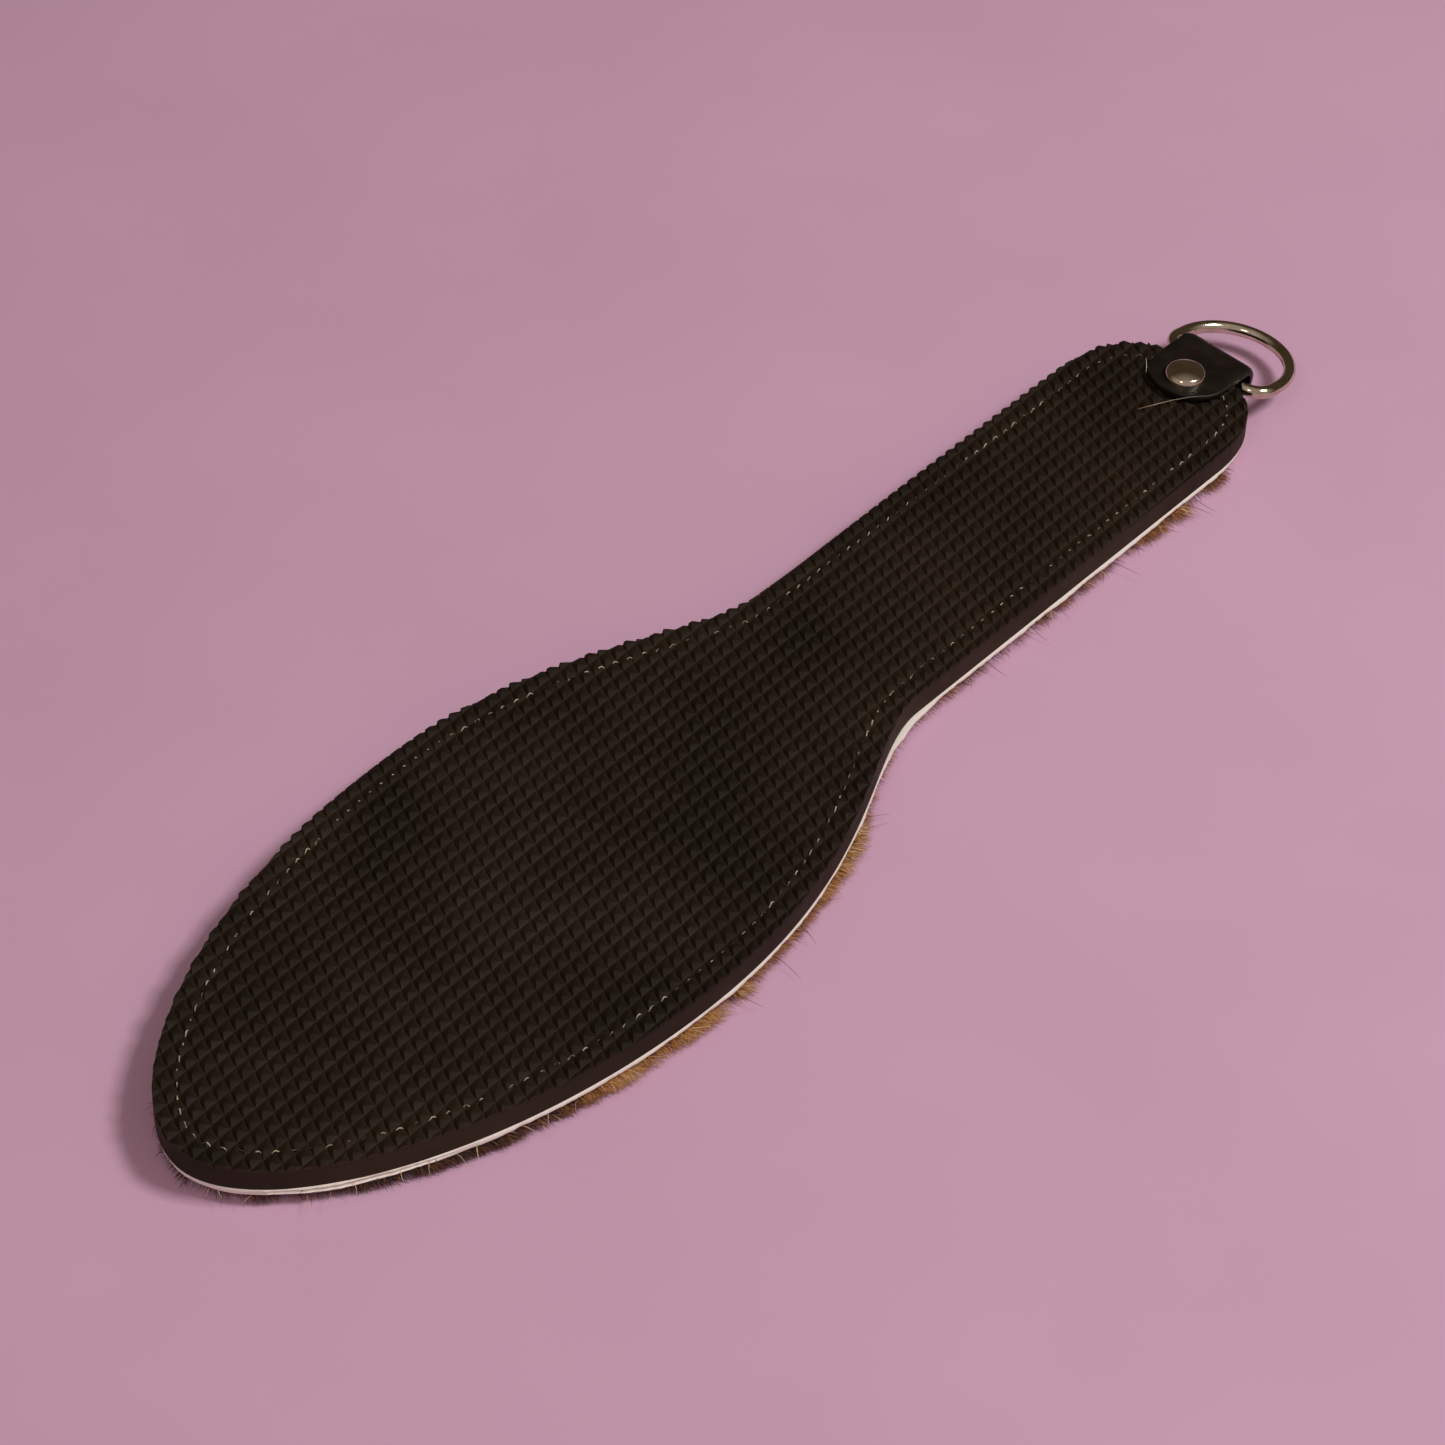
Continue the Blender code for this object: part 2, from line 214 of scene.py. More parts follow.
@dataclass(frozen=True)
class MouldedRubber(Finish):
    """Black crepe-like rubber, press-moulded: matt and faintly brown, with painted light and shade on its
    studs and wall.
    """

    name: str = "moulded_rubber"
    roughness: float = 0.66
    ior: float = 1.52
    gloss: float = 0.14
    dark: str = "#443525"
    brown: str = "#584433"
    lint: str = "#4E4334"
    # Heights: the cut wall below, the studs' tips, and where the painted light on the steep faces begins and
    # is full.
    wall_z: float = 9.4
    stud_z: float = 11.5
    painted_lift_from_z: float = 9.9
    painted_lift_full_z: float = 10.3
    # How far a stud's steep face turns to the tip, as the X of its normal.
    steep: float = -0.75

    def lay(self, tree: bpy.types.NodeTree, shader: bpy.types.Node) -> None:
        """Cloudy colour, painted shade by height, painted light on the steep stud faces and a fine moulded
        grain.
        """
        shader.inputs["Specular IOR Level"].default_value = self.gloss
        cloud = add_node(tree, "ShaderNodeValToRGB", {"Fac": self.spots(tree, 34.0)},
                         stops=[(0.36, self.dark), (0.66, self.brown)])
        place = add_node(tree, "ShaderNodeTexCoord").outputs["Object"]
        height = add_node(tree, "ShaderNodeSeparateXYZ", {"Vector": place}).outputs["Z"]
        height_share = add_node(tree, "ShaderNodeMapRange",
                       {"Value": height, "From Min": self.wall_z * MM, "From Max": self.stud_z * MM})
        # Painted light and shade by height, with some real dust in the valleys: the cut wall is painted
        # lighter, its top edge darker as a painted shadow, and the stud tips darker to soften the studs'
        # shading.
        shade = add_node(tree, "ShaderNodeValToRGB", {"Fac": height_share.outputs["Result"]},
                         stops=[(0.10, "#DCDCDC"), (0.24, "#C2C2C2"), (0.50, "#C2C2C2"), (0.75, "#A8A8A8"),
                                (1.0, "#979797")])
        tone_with_painted_shade = add_node(tree, "ShaderNodeMix",
                         {"Factor": 1.0, "A": cloud.outputs["Color"], "B": shade.outputs["Color"]},
                         data_type="RGBA", blend_type="MULTIPLY")
        # Painted light: the steep faces of the studs, which look to the tip and away from the key lamp, are
        # painted lighter to lift their shade.
        slope = add_node(tree, "ShaderNodeNewGeometry").outputs["Normal"]
        ahead = add_node(tree, "ShaderNodeSeparateXYZ", {"Vector": slope}).outputs["X"]
        faced = add_node(tree, "ShaderNodeMapRange",
                         {"Value": ahead, "From Min": 0.0, "From Max": self.steep})
        on_top = add_node(tree, "ShaderNodeMapRange",
                          {"Value": height, "From Min": self.painted_lift_from_z * MM,
                           "From Max": self.painted_lift_full_z * MM})
        painted_lift_mask = add_node(tree, "ShaderNodeMath",
                          {0: faced.outputs["Result"], 1: on_top.outputs["Result"]}, operation="MULTIPLY")
        painted_lift = add_node(tree, "ShaderNodeValToRGB", {"Fac": painted_lift_mask.outputs["Value"]},
                         stops=[(0.15, "#BFBFBF"), (0.90, "#FFFFFF")])
        # The cloudy tone with its painted shade, times the painted light on the steep faces.
        worn = add_node(tree, "ShaderNodeMix",
                        {"Factor": 1.0, "A": tone_with_painted_shade.outputs["Result"], "B": painted_lift.outputs["Color"]},
                        data_type="RGBA", blend_type="MULTIPLY")
        # Lint and dust: sparse specks, drawn 0.5 mm wide so that they show.
        lint = add_node(tree, "ShaderNodeValToRGB", {"Fac": self.spots(tree, 0.5, 1.0)},
                        stops=[(0.74, "#000000"), (0.80, "#4A4A4A")])
        dusty = add_node(tree, "ShaderNodeMix",
                         {"Factor": lint.outputs["Color"], "A": worn.outputs["Result"],
                          "B": linear(self.lint)}, data_type="RGBA")
        tree.links.new(dusty.outputs["Result"], shader.inputs["Base Color"])
        self.vary(tree, shader, self.spots(tree, 6.0), 0.08)
        # The mould's grain is about 0.1 mm; it is drawn at 0.3 mm so that it shows.
        self.raise_by(tree, shader, self.spots(tree, 0.3, 4.0), 0.10)


@dataclass(frozen=True)
class RawHide(Finish):
    """Undyed hide with a knife-cut edge: chalky off-white, fibrous, greyer where it was handled."""

    name: str = "raw_hide"
    roughness: float = 0.82
    pale: str = "#E4D0AE"
    soiled: str = "#A98F72"

    def lay(self, tree: bpy.types.NodeTree, shader: bpy.types.Node) -> None:
        """Patches of soil over off-white, and layered fibres along the cut."""
        place = add_node(tree, "ShaderNodeTexCoord").outputs["Object"]
        # The fibre layers lie flat, so the noise is squeezed six times in height.
        flat = add_node(tree, "ShaderNodeMapping", {"Vector": place, "Scale": (1.0, 1.0, 6.0)})
        fibres = add_node(tree, "ShaderNodeTexNoise",
                          {"Vector": flat.outputs["Vector"], "Scale": per_mm(1.6), "Detail": 5.0})
        soil = add_node(tree, "ShaderNodeMix",
                        {"Factor": 0.35, "A": self.spots(tree, 14.0), "B": fibres.outputs["Fac"]})
        colour = add_node(tree, "ShaderNodeValToRGB", {"Fac": soil.outputs["Result"]},
                          stops=[(0.40, self.soiled), (0.58, self.pale)])
        tree.links.new(colour.outputs["Color"], shader.inputs["Base Color"])
        self.vary(tree, shader, fibres.outputs["Fac"], 0.08)
        self.raise_by(tree, shader, fibres.outputs["Fac"], 0.30)


@dataclass(frozen=True)
class CalfHair(Finish):
    """Calf hair left on the hide: short, straight, ginger to dark brown, with a soft gloss."""

    name: str = "calf_hair"
    roughness: float = 0.46
    ior: float = 1.55
    shade_name: str = "shade"
    # From the darkest hairs through ginger to the white ones.
    shades: tuple[tuple[float, str], ...] = (
        (0.05, "#1A0E09"), (0.30, "#45261A"), (0.50, "#A0662E"), (0.72, "#DDA65C"), (0.88, "#F2E8D2"))

    def lay(self, tree: bpy.types.NodeTree, shader: bpy.types.Node) -> None:
        """Colour from each hair's own shade, which runs lighter towards its end."""
        shade = add_node(tree, "ShaderNodeAttribute", attribute_name=self.shade_name)
        mottle = add_node(tree, "ShaderNodeMix",
                          {"Factor": 0.18, "A": shade.outputs["Fac"], "B": self.spots(tree, 5.0)})
        colour = add_node(tree, "ShaderNodeValToRGB", {"Fac": mottle.outputs["Result"]},
                          stops=list(self.shades))
        tree.links.new(colour.outputs["Color"], shader.inputs["Base Color"])
        self.vary(tree, shader, self.spots(tree, 2.0), 0.08)
        self.raise_by(tree, shader, self.spots(tree, 0.4), 0.03, 0.4)


@dataclass(frozen=True)
class WaxedThread(Finish):
    """Three-ply sewing thread, waxed: olive-cream on its crowns, grimed dark where it sinks."""

    name: str = "waxed_thread"
    roughness: float = 0.55
    clean: str = "#C2B69C"
    grimed: str = "#2E2716"

    def lay(self, tree: bpy.types.NodeTree, shader: bpy.types.Node) -> None:
        """Each stitch has its own grime, and fibres run through the plies."""
        colour = add_node(tree, "ShaderNodeValToRGB", {"Fac": self.spots(tree, 2.4, 3.0)},
                          stops=[(0.42, self.grimed), (0.60, self.clean)])
        tree.links.new(colour.outputs["Color"], shader.inputs["Base Color"])
        self.vary(tree, shader, self.spots(tree, 3.0), 0.1)
        # Single fibres are far too fine to show, so they are drawn 0.15 mm apart.
        self.raise_by(tree, shader, self.spots(tree, 0.15), 0.05)


@dataclass(frozen=True)
class FinishedLeather(Finish):
    """Black cow leather, drum-dyed and plated smooth: low sheen, faint pores, browner worn edges."""

    name: str = "finished_leather"
    roughness: float = 0.44
    ior: float = 1.5
    gloss: float = 0.35
    black: str = "#140F0B"
    worn: str = "#211813"

    def lay(self, tree: bpy.types.NodeTree, shader: bpy.types.Node) -> None:
        """Cloudy black, hair pores and the slight creases of a folded strap."""
        shader.inputs["Specular IOR Level"].default_value = self.gloss
        colour = add_node(tree, "ShaderNodeValToRGB", {"Fac": self.spots(tree, 7.0, 5.0)},
                          stops=[(0.42, self.black), (0.72, self.worn)])
        tree.links.new(colour.outputs["Color"], shader.inputs["Base Color"])
        self.vary(tree, shader, self.spots(tree, 3.0), 0.07)
        place = add_node(tree, "ShaderNodeTexCoord").outputs["Object"]
        # Pores are about 0.2 mm apart; they are drawn at 0.5 mm so that they show.
        pores = add_node(tree, "ShaderNodeTexVoronoi", {"Vector": place, "Scale": per_mm(0.5)},
                         feature="SMOOTH_F1")
        grain = add_node(tree, "ShaderNodeMix",
                         {"Factor": 0.5, "A": pores.outputs["Distance"], "B": self.spots(tree, 1.8, 5.0)})
        self.raise_by(tree, shader, grain.outputs["Result"], 0.10, 0.5)


@dataclass(frozen=True)
class PolishedNickel(Finish):
    """Nickel-plated steel, barrel-polished: warm grey mirror with light handling marks."""

    name: str = "polished_nickel"
    roughness: float = 0.10
    metallic: float = 1.0
    tone: str = "#DDD3C2"
    dull: str = "#C6B9A2"

    def lay(self, tree: bpy.types.NodeTree, shader: bpy.types.Node) -> None:
        """Cloudy plating with short fine scratches."""
        colour = add_node(tree, "ShaderNodeValToRGB", {"Fac": self.spots(tree, 4.0)},
                          stops=[(0.35, self.dull), (0.60, self.tone)])
        tree.links.new(colour.outputs["Color"], shader.inputs["Base Color"])
        self.vary(tree, shader, self.spots(tree, 1.5, 5.0), 0.05)
        place = add_node(tree, "ShaderNodeTexCoord").outputs["Object"]
        # Scratches are hair-fine; they are drawn 0.2 mm wide and 2 mm long so that they show.
        drawn = add_node(tree, "ShaderNodeMapping",
                         {"Vector": place, "Rotation": (0.4, 0.2, 0.7), "Scale": (1.0, 0.1, 1.0)})
        scratches = add_node(tree, "ShaderNodeTexNoise",
                             {"Vector": drawn.outputs["Vector"], "Scale": per_mm(0.2), "Detail": 3.0})
        self.raise_by(tree, shader, scratches.outputs["Fac"], 0.010, 0.5)


@dataclass(frozen=True)
class MattPaper(Finish):
    """Uncoated background paper, rolled out: matt and nearly even, with a faint tooth."""

    name: str = "matt_paper"
    roughness: float = 0.92
    tone: str = "#DDB1D0"
    shade: str = "#D9ADCC"

    def lay(self, tree: bpy.types.NodeTree, shader: bpy.types.Node) -> None:
        """A breath of colour variation and the paper's tooth."""
        colour = add_node(tree, "ShaderNodeValToRGB", {"Fac": self.spots(tree, 90.0)},
                          stops=[(0.35, self.shade), (0.65, self.tone)])
        tree.links.new(colour.outputs["Color"], shader.inputs["Base Color"])
        self.vary(tree, shader, self.spots(tree, 25.0), 0.03)
        self.raise_by(tree, shader, self.spots(tree, 0.8), 0.05, 0.3)


# ---------------------------------------------------------------- mesh helpers

def make_piece(name: str, points: np.ndarray, faces: Faces, finish: Finish,
               crease: float = 35.0) -> bpy.types.Object:
    """Makes a mesh object from points in millimetres.

    Args:
        name: The piece's name.
        points: One row of x, y, z for each vertex.
        faces: Vertex numbers of each face.
        finish: What its surface is.
        crease: Edges sharper than this many degrees stay sharp.

    Returns:
        The new object, linked to the scene.
    """
    mesh = bpy.data.meshes.new(name)
    mesh.from_pydata((np.asarray(points) * MM).tolist(), [], faces)
    mesh.materials.append(finish.material())
    mesh.update()
    tidy_normals(mesh)
    mesh.shade_smooth()
    mesh.set_sharp_from_angle(angle=math.radians(crease))
    piece = bpy.data.objects.new(name, mesh)
    bpy.context.scene.collection.objects.link(piece)
    return piece


def tidy_normals(mesh: bpy.types.Mesh) -> None:
    """Turns every face of a mesh outwards."""
    form = bmesh.new()
    form.from_mesh(mesh)
    bmesh.ops.recalc_face_normals(form, faces=form.faces)
    form.to_mesh(mesh)
    form.free()


def hang(piece: bpy.types.Object, body: Body, slot: Slot, *nodes: str) -> bpy.types.Object:
    """Says which body a piece moves with and the nodes it stands for.

    Args:
        piece: The new piece.
        body: The body it rides on.
        slot: Not used.
        *nodes: CAD nodes that it replaces.

    Returns:
        The same piece.
    """
    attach(piece, body.value)
    if nodes:
        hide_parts(*nodes)
    LOG.info("%s rides on %s, %d faces", piece.name, body.value, len(piece.data.polygons))
    return piece


def bezier(p0: tuple, p1: tuple, p2: tuple, p3: tuple, steps: int) -> np.ndarray:
    """Points of a cubic Bezier.

    Args:
        p0: Start point.
        p1: Pull of the start.
        p2: Pull of the end.
        p3: End point.
        steps: How many points to give.

    Returns:
        The points, without the last one.
    """
    t = (np.arange(steps) / steps)[:, None]
    u = 1.0 - t
    weights = (u ** 3, 3 * u * u * t, 3 * u * t * t, t ** 3)
    return sum(w * np.array([p]) for w, p in zip(weights, (p0, p1, p2, p3)))


def arc(centre: tuple[float, float], radius: float, start: float, end: float, steps: int) -> np.ndarray:
    """Points on a circle.

    Args:
        centre: Its centre.
        radius: Its radius.
        start: First angle in degrees.
        end: Last angle in degrees.
        steps: Number of chords.

    Returns:
        The points, both ends included.
    """
    angles = np.radians(np.linspace(start, end, steps + 1))
    return np.column_stack([centre[0] + radius * np.cos(angles), centre[1] + radius * np.sin(angles)])


def even_steps(points: np.ndarray, spacing: float) -> np.ndarray:
    """Spaces points evenly along a closed line.

    Args:
        points: The line's points, in two or three dimensions.
        spacing: The wanted distance between points.

    Returns:
        The new points, the first one not repeated at the end.
    """
    line = np.vstack([points, points[:1]])
    travelled = np.concatenate([[0.0], np.cumsum(np.linalg.norm(np.diff(line, axis=0), axis=1))])
    count = max(2, round(travelled[-1] / spacing))
    stations = np.linspace(0.0, travelled[-1], count + 1)[:-1]
    return np.column_stack([np.interp(stations, travelled, line[:, k]) for k in range(line.shape[1])])


def loops_to_faces(loops: int, around: int, closed_along: bool) -> Faces:
    """Quads that join a stack of equal closed loops of vertices.

    Args:
        loops: Number of loops.
        around: Vertices in each loop.
        closed_along: Whether the last loop joins the first.

    Returns:
        The faces.
    """
    faces = []
    for i in range(loops if closed_along else loops - 1):
        low = i * around
        high = ((i + 1) % loops) * around
        for j in range(around):
            k = (j + 1) % around
            faces.append((low + j, low + k, high + k, high + j))
    return faces


def cap(start: int, around: int) -> tuple[int, ...]:
    """One face over a loop that starts at this vertex."""
    return tuple(range(start, start + around))


def sweep(path: np.ndarray, section: np.ndarray, turn: float = 0.0) -> tuple[np.ndarray, Faces]:
    """Sweeps a round-ish section along a closed path.

    Args:
        path: Closed path, one row of x, y, z each.
        section: Section points (across, up) in millimetres.
        turn: Twist in turns per step of the path.

    Returns:
        Vertices and faces of the swept tube.
    """
    ahead = np.roll(path, -1, axis=0) - np.roll(path, 1, axis=0)
    along = ahead / np.linalg.norm(ahead, axis=1)[:, None]
    across = np.cross(along, (0.0, 0.0, 1.0))
    across /= np.linalg.norm(across, axis=1)[:, None]
    up = np.cross(across, along)
    angle = np.arange(len(path))[:, None] * turn * 2 * math.pi
    a = section[:, 0] * np.cos(angle) - section[:, 1] * np.sin(angle)
    b = section[:, 0] * np.sin(angle) + section[:, 1] * np.cos(angle)
    points = path[:, None, :] + a[..., None] * across[:, None, :] + b[..., None] * up[:, None, :]
    return points.reshape(-1, 3), loops_to_faces(len(path), len(section), closed_along=True)


def boolean(piece: bpy.types.Object, cutter: bpy.types.Object, operation: str) -> None:
    """Cuts a piece with a cutter, applies the cut and removes the cutter.

    Args:
        piece: The piece to cut.
        cutter: A closed solid.
        operation: INTERSECT or DIFFERENCE.
    """
    modifier = piece.modifiers.new("cut", "BOOLEAN")
    modifier.operation = operation
    modifier.solver = "EXACT"
    modifier.object = cutter
    depsgraph = bpy.context.evaluated_depsgraph_get()
    mesh = bpy.data.meshes.new_from_object(piece.evaluated_get(depsgraph))
    piece.modifiers.clear()
    old = piece.data
    piece.data = mesh
    bpy.data.meshes.remove(old)
    mesh.name = piece.name
    bpy.data.objects.remove(cutter, do_unlink=True)


# ---------------------------------------------------------------- the paddle's plan

@dataclass
class PaddlePlan:
    """The outline that every layer of the brush is cut to."""

    tip_x: float = -183.95
    body_length: float = 343.6
    widest_at: float = 110.0
    head_half_width: float = 49.5
    neck_at: float = 205.4
    handle_half_width: float = 24.3
    end_corner_at: float = 320.0
    end_half_width: float = 8.0
    # How many points are located at a time, to save memory.
    block: int = 4000

    def half(self) -> np.ndarray:
        """The left half, from the tip on the centre line to the blunt handle end."""
        widest = (self.tip_x + self.widest_at, self.head_half_width)
        neck = (self.tip_x + self.neck_at, self.handle_half_width)
        corner = (self.tip_x + self.end_corner_at, self.handle_half_width)
        end = (self.tip_x + self.body_length, self.end_half_width)
        return np.vstack([
            bezier((self.tip_x, 0.0), (self.tip_x, 22.5), (widest[0] - 60.0, widest[1]), widest, 90),
            bezier(widest, (widest[0] + 52.9, widest[1]), (neck[0] - 17.9, neck[1]), neck, 70),
            bezier(neck, neck, corner, corner, 60),
            bezier(corner, (corner[0] + 17.5, corner[1]), (end[0], end[1] + 7.2), end, 40),
            [end],
        ])

    def outline(self, offset: float | np.ndarray = 0.0, spacing: float = 1.0) -> np.ndarray:
        """The closed outline, counter-clockwise from the handle end.

        Args:
            offset: How far to move it outwards, one value or one for each point.
            spacing: Distance between points.

        Returns:
            One row of x, y each.
        """
        left = self.half()
        right = left[1:][::-1] * (1.0, -1.0)
        points = even_steps(np.vstack([left, right])[::-1], spacing)
        return points + self.outward(points) * np.reshape(offset, (-1, 1))

    @staticmethod
    def outward(points: np.ndarray) -> np.ndarray:
        """Outward unit normals of a counter-clockwise outline."""
        along = np.roll(points, -1, axis=0) - np.roll(points, 1, axis=0)
        along /= np.linalg.norm(along, axis=1)[:, None]
        return np.column_stack([along[:, 1], -along[:, 0]])

    def locate(self, points: np.ndarray) -> tuple[np.ndarray, np.ndarray]:
        """Finds where points lie in the plan.

        Args:
            points: One row of x, y each.

        Returns:
            Each point's distance to the edge, negative outside, and the number of the nearest point of
            outline().
        """
        edge = self.outline()
        normals = self.outward(edge)
        depth = np.empty(len(points))
        station = np.empty(len(points), dtype=int)
        for start in range(0, len(points), self.block):
            block = points[start:start + self.block]
            gap = block[:, None, :] - edge[None, :, :]
            nearest = np.argmin((gap ** 2).sum(axis=2), axis=1)
            rows = np.arange(len(block))
            depth[start:start + self.block] = -(gap[rows, nearest] * normals[nearest]).sum(axis=1)
            station[start:start + self.block] = nearest
        return depth, station


def layer(outlines: list[tuple[np.ndarray, float]]) -> tuple[np.ndarray, Faces]:
    """A closed layer from a stack of outlines with equal numbers of points.

    Args:
        outlines: Each outline and its height, from one side to the other.

    Returns:
        Vertices and faces, capped at both ends.
    """
    around = len(outlines[0][0])
    points = np.vstack([np.column_stack([line, np.full(around, z)]) for line, z in outlines])
    faces = loops_to_faces(len(outlines), around, closed_along=False)
    faces += [cap(0, around)[::-1], cap(around * (len(outlines) - 1), around)]
    return points, faces


def wavering(points: np.ndarray, size: float, height: float, seed: float) -> np.ndarray:
    """Smooth random height for each point of an outline.

    Args:
        points: One row of x, y each.
        size: Distance between waves.
        height: Largest height.
        seed: Moves the pattern.

    Returns:
        One value for each point.
    """
    waves = np.array([noise.noise(Vector((x / size, y / size, seed))) for x, y in points])
    return waves * height * NOISE_GAIN


# ---------------------------------------------------------------- the pad

@dataclass
class StuddedPad:
    """The moulded rubber sheet: low studs in staggered rows, cut to the outline.

    Each stud is like a shark's tooth: steep towards the tip of the brush, gentle towards the handle.
    """

    plan: PaddlePlan
    finish: Finish = field(default_factory=MouldedRubber)
    bottom_z: float = 4.9
    top_z: float = 11.5
    pitch: float = 3.63
    row_spacing: float = 3.59
    row_angle: float = 1.6
    sheet_half_length: float = 190.0
    sheet_half_width: float = 56.0
    stud_height: float = 1.10
    apex_ahead: float = 1.05
    apex_aside: float = 1.30
    lean_spread: float = 0.05
    height_spread: float = 0.035
    seam_inset: float = 5.0
    seam_dip: float = 0.25
    dip_width: float = 1.3
    wave_length: float = 40.0
    wave_height: float = 0.10
    rivet_hole: float = 2.3
    crease: float = 26.0
    rivet_at: tuple[float, float] = (151.75, -1.7)
    # Each ring of a stud: share of its base, height, and how far its corners are rounded in.
    rings: tuple[tuple[float, float, float], ...] = (
        (0.93, 0.05, 1.0), (0.26, 0.90, 0.92), (0.13, 0.985, 0.80))

    def stud_sheet(self) -> tuple[np.ndarray, Faces]:
        """A slab wider than the brush with studs all over its top.

        Returns:
            Vertices and faces.
        """
        rows = int(2 * self.sheet_half_width / self.row_spacing)
        columns = int(2 * self.sheet_half_length / self.pitch)
        half_columns = 2 * columns + 2
        base = self.top_z - self.stud_height
        grid = np.array([(i * self.pitch / 2, j * self.row_spacing, base)
                         for j in range(rows + 1) for i in range(half_columns + 1)])
        faces: Faces = []
        points = [grid]
        count = len(grid)
        chance = np.random.default_rng(11)
        for j in range(rows):
            first = j % 2
            for c in range(columns):
                left = first + 2 * c
                low = j * (half_columns + 1) + left
                high = low + half_columns + 1
                outer = [low, low + 1, low + 2, high + 3, high + 2, high + 1]
                corners = grid[outer]
                middle = corners[0] + (self.apex_ahead, self.apex_aside, 0.0)
                lean = chance.normal(0.0, self.lean_spread, 2)
                tall = self.stud_height * (1.0 + chance.normal(0.0, self.height_spread))
                for share, height, roundness in self.rings:
                    ring = middle + (corners - middle) * share
                    ring[[0, 2, 3, 5]] = middle + (ring[[0, 2, 3, 5]] - middle) * roundness
                    ring[:, :2] += lean * height
                    ring[:, 2] = base + tall * height
                    points.append(ring)
                    inner = list(range(count, count + 6))
                    for k in range(6):
                        n = (k + 1) % 6
                        faces += [(outer[k], outer[n], inner[n]), (outer[k], inner[n], inner[k])]
                    outer = inner
                    count += 6
                apex = middle + (lean[0], lean[1], tall)
                points.append(apex[None, :])
                faces += [(outer[k], outer[(k + 1) % 6], count) for k in range(6)]
                count += 1
            # The two ends of a row are left flat, beyond the cut.
            row = j * (half_columns + 1)
            above = row + half_columns + 1
            end = first + 2 * columns
            faces.append((*range(row, row + first + 1), *range(above + first + 1, above - 1, -1)))
            faces.append((*range(row + end, above), *range(above + half_columns, above + end, -1)))
        return np.vstack(points), faces

    def sheet_solid(self) -> bpy.types.Object:
        """The stud sheet with sides and a bottom, turned and pulled down along the seam.

        Returns:
            The uncut slab.
        """
        points, faces = self.stud_sheet()
        form = bmesh.new()
        for point in points:
            form.verts.new(point)
        form.verts.ensure_lookup_table()
        for face in faces:
            form.faces.new([form.verts[i] for i in face])
        rim = [edge for edge in form.edges if edge.is_boundary]
        walls = bmesh.ops.extrude_edge_only(form, edges=rim)
        lower = [item for item in walls["geom"] if isinstance(item, bmesh.types.BMVert)]
        for vertex in lower:
            vertex.co.z = self.bottom_z - 2.0
        bmesh.ops.holes_fill(form, edges=[edge for edge in form.edges if edge.is_boundary])
        bmesh.ops.recalc_face_normals(form, faces=form.faces)
        centre = Vector((*(points[:, :2].min(axis=0) + points[:, :2].max(axis=0)) / 2, 0.0))
        turn = Matrix.Rotation(math.radians(self.row_angle), 4, "Z") @ Matrix.Translation(-centre)
        bmesh.ops.transform(form, matrix=turn, verts=form.verts)
        mesh = bpy.data.meshes.new("rubber_pad_studs")
        form.to_mesh(mesh)
        form.free()
        solid = bpy.data.objects.new("rubber_pad_studs", mesh)
        bpy.context.scene.collection.objects.link(solid)
        self.pull_seam(mesh)
        mesh.transform(Matrix.Scale(MM, 4))
        mesh.materials.append(self.finish.material())
        return solid

    def pull_seam(self, mesh: bpy.types.Mesh) -> None:
        """Pulls the sheet's top down along the seam and lets it waver a little.

        Args:
            mesh: The slab, in millimetres.
        """
        points = np.empty(len(mesh.vertices) * 3)
        mesh.vertices.foreach_get("co", points)
        points = points.reshape(-1, 3)
        top = points[:, 2] > self.bottom_z
        depth, _ = self.plan.locate(points[:, :2])
        dip = self.seam_dip * np.exp(-((depth - self.seam_inset) / self.dip_width) ** 2)
        wave = wavering(points[:, :2], self.wave_length, self.wave_height, 3.0) - self.wave_height
        points[:, 2] += np.where(top, wave - dip, 0.0)
        points[:, 2] = np.minimum(points[:, 2], self.top_z)
        mesh.vertices.foreach_set("co", points.ravel())
        mesh.update()

    def build(self) -> bpy.types.Object:
        """Cuts the stud sheet to the outline.

        Returns:
            The pad.
        """
        pad = self.sheet_solid()
        line = self.plan.outline()
        points, faces = layer([(line, self.bottom_z), (line, self.top_z + 3.0)])
        boolean(pad, make_piece("pad_cutter", points, faces, self.finish), "INTERSECT")
        hole = arc(self.rivet_at, self.rivet_hole, 0.0, 360.0, 32)[:-1]
        points, faces = layer([(hole, self.bottom_z - 1.0), (hole, self.top_z + 3.0)])
        boolean(pad, make_piece("hole_cutter", points, faces, self.finish), "DIFFERENCE")
        pad.data.shade_smooth()
        pad.data.set_sharp_from_angle(angle=math.radians(self.crease))
        return hang(pad, Body.BRUSH, Slot.RUBBER, "rubber_pad")


# ---------------------------------------------------------------- the hide and its seam

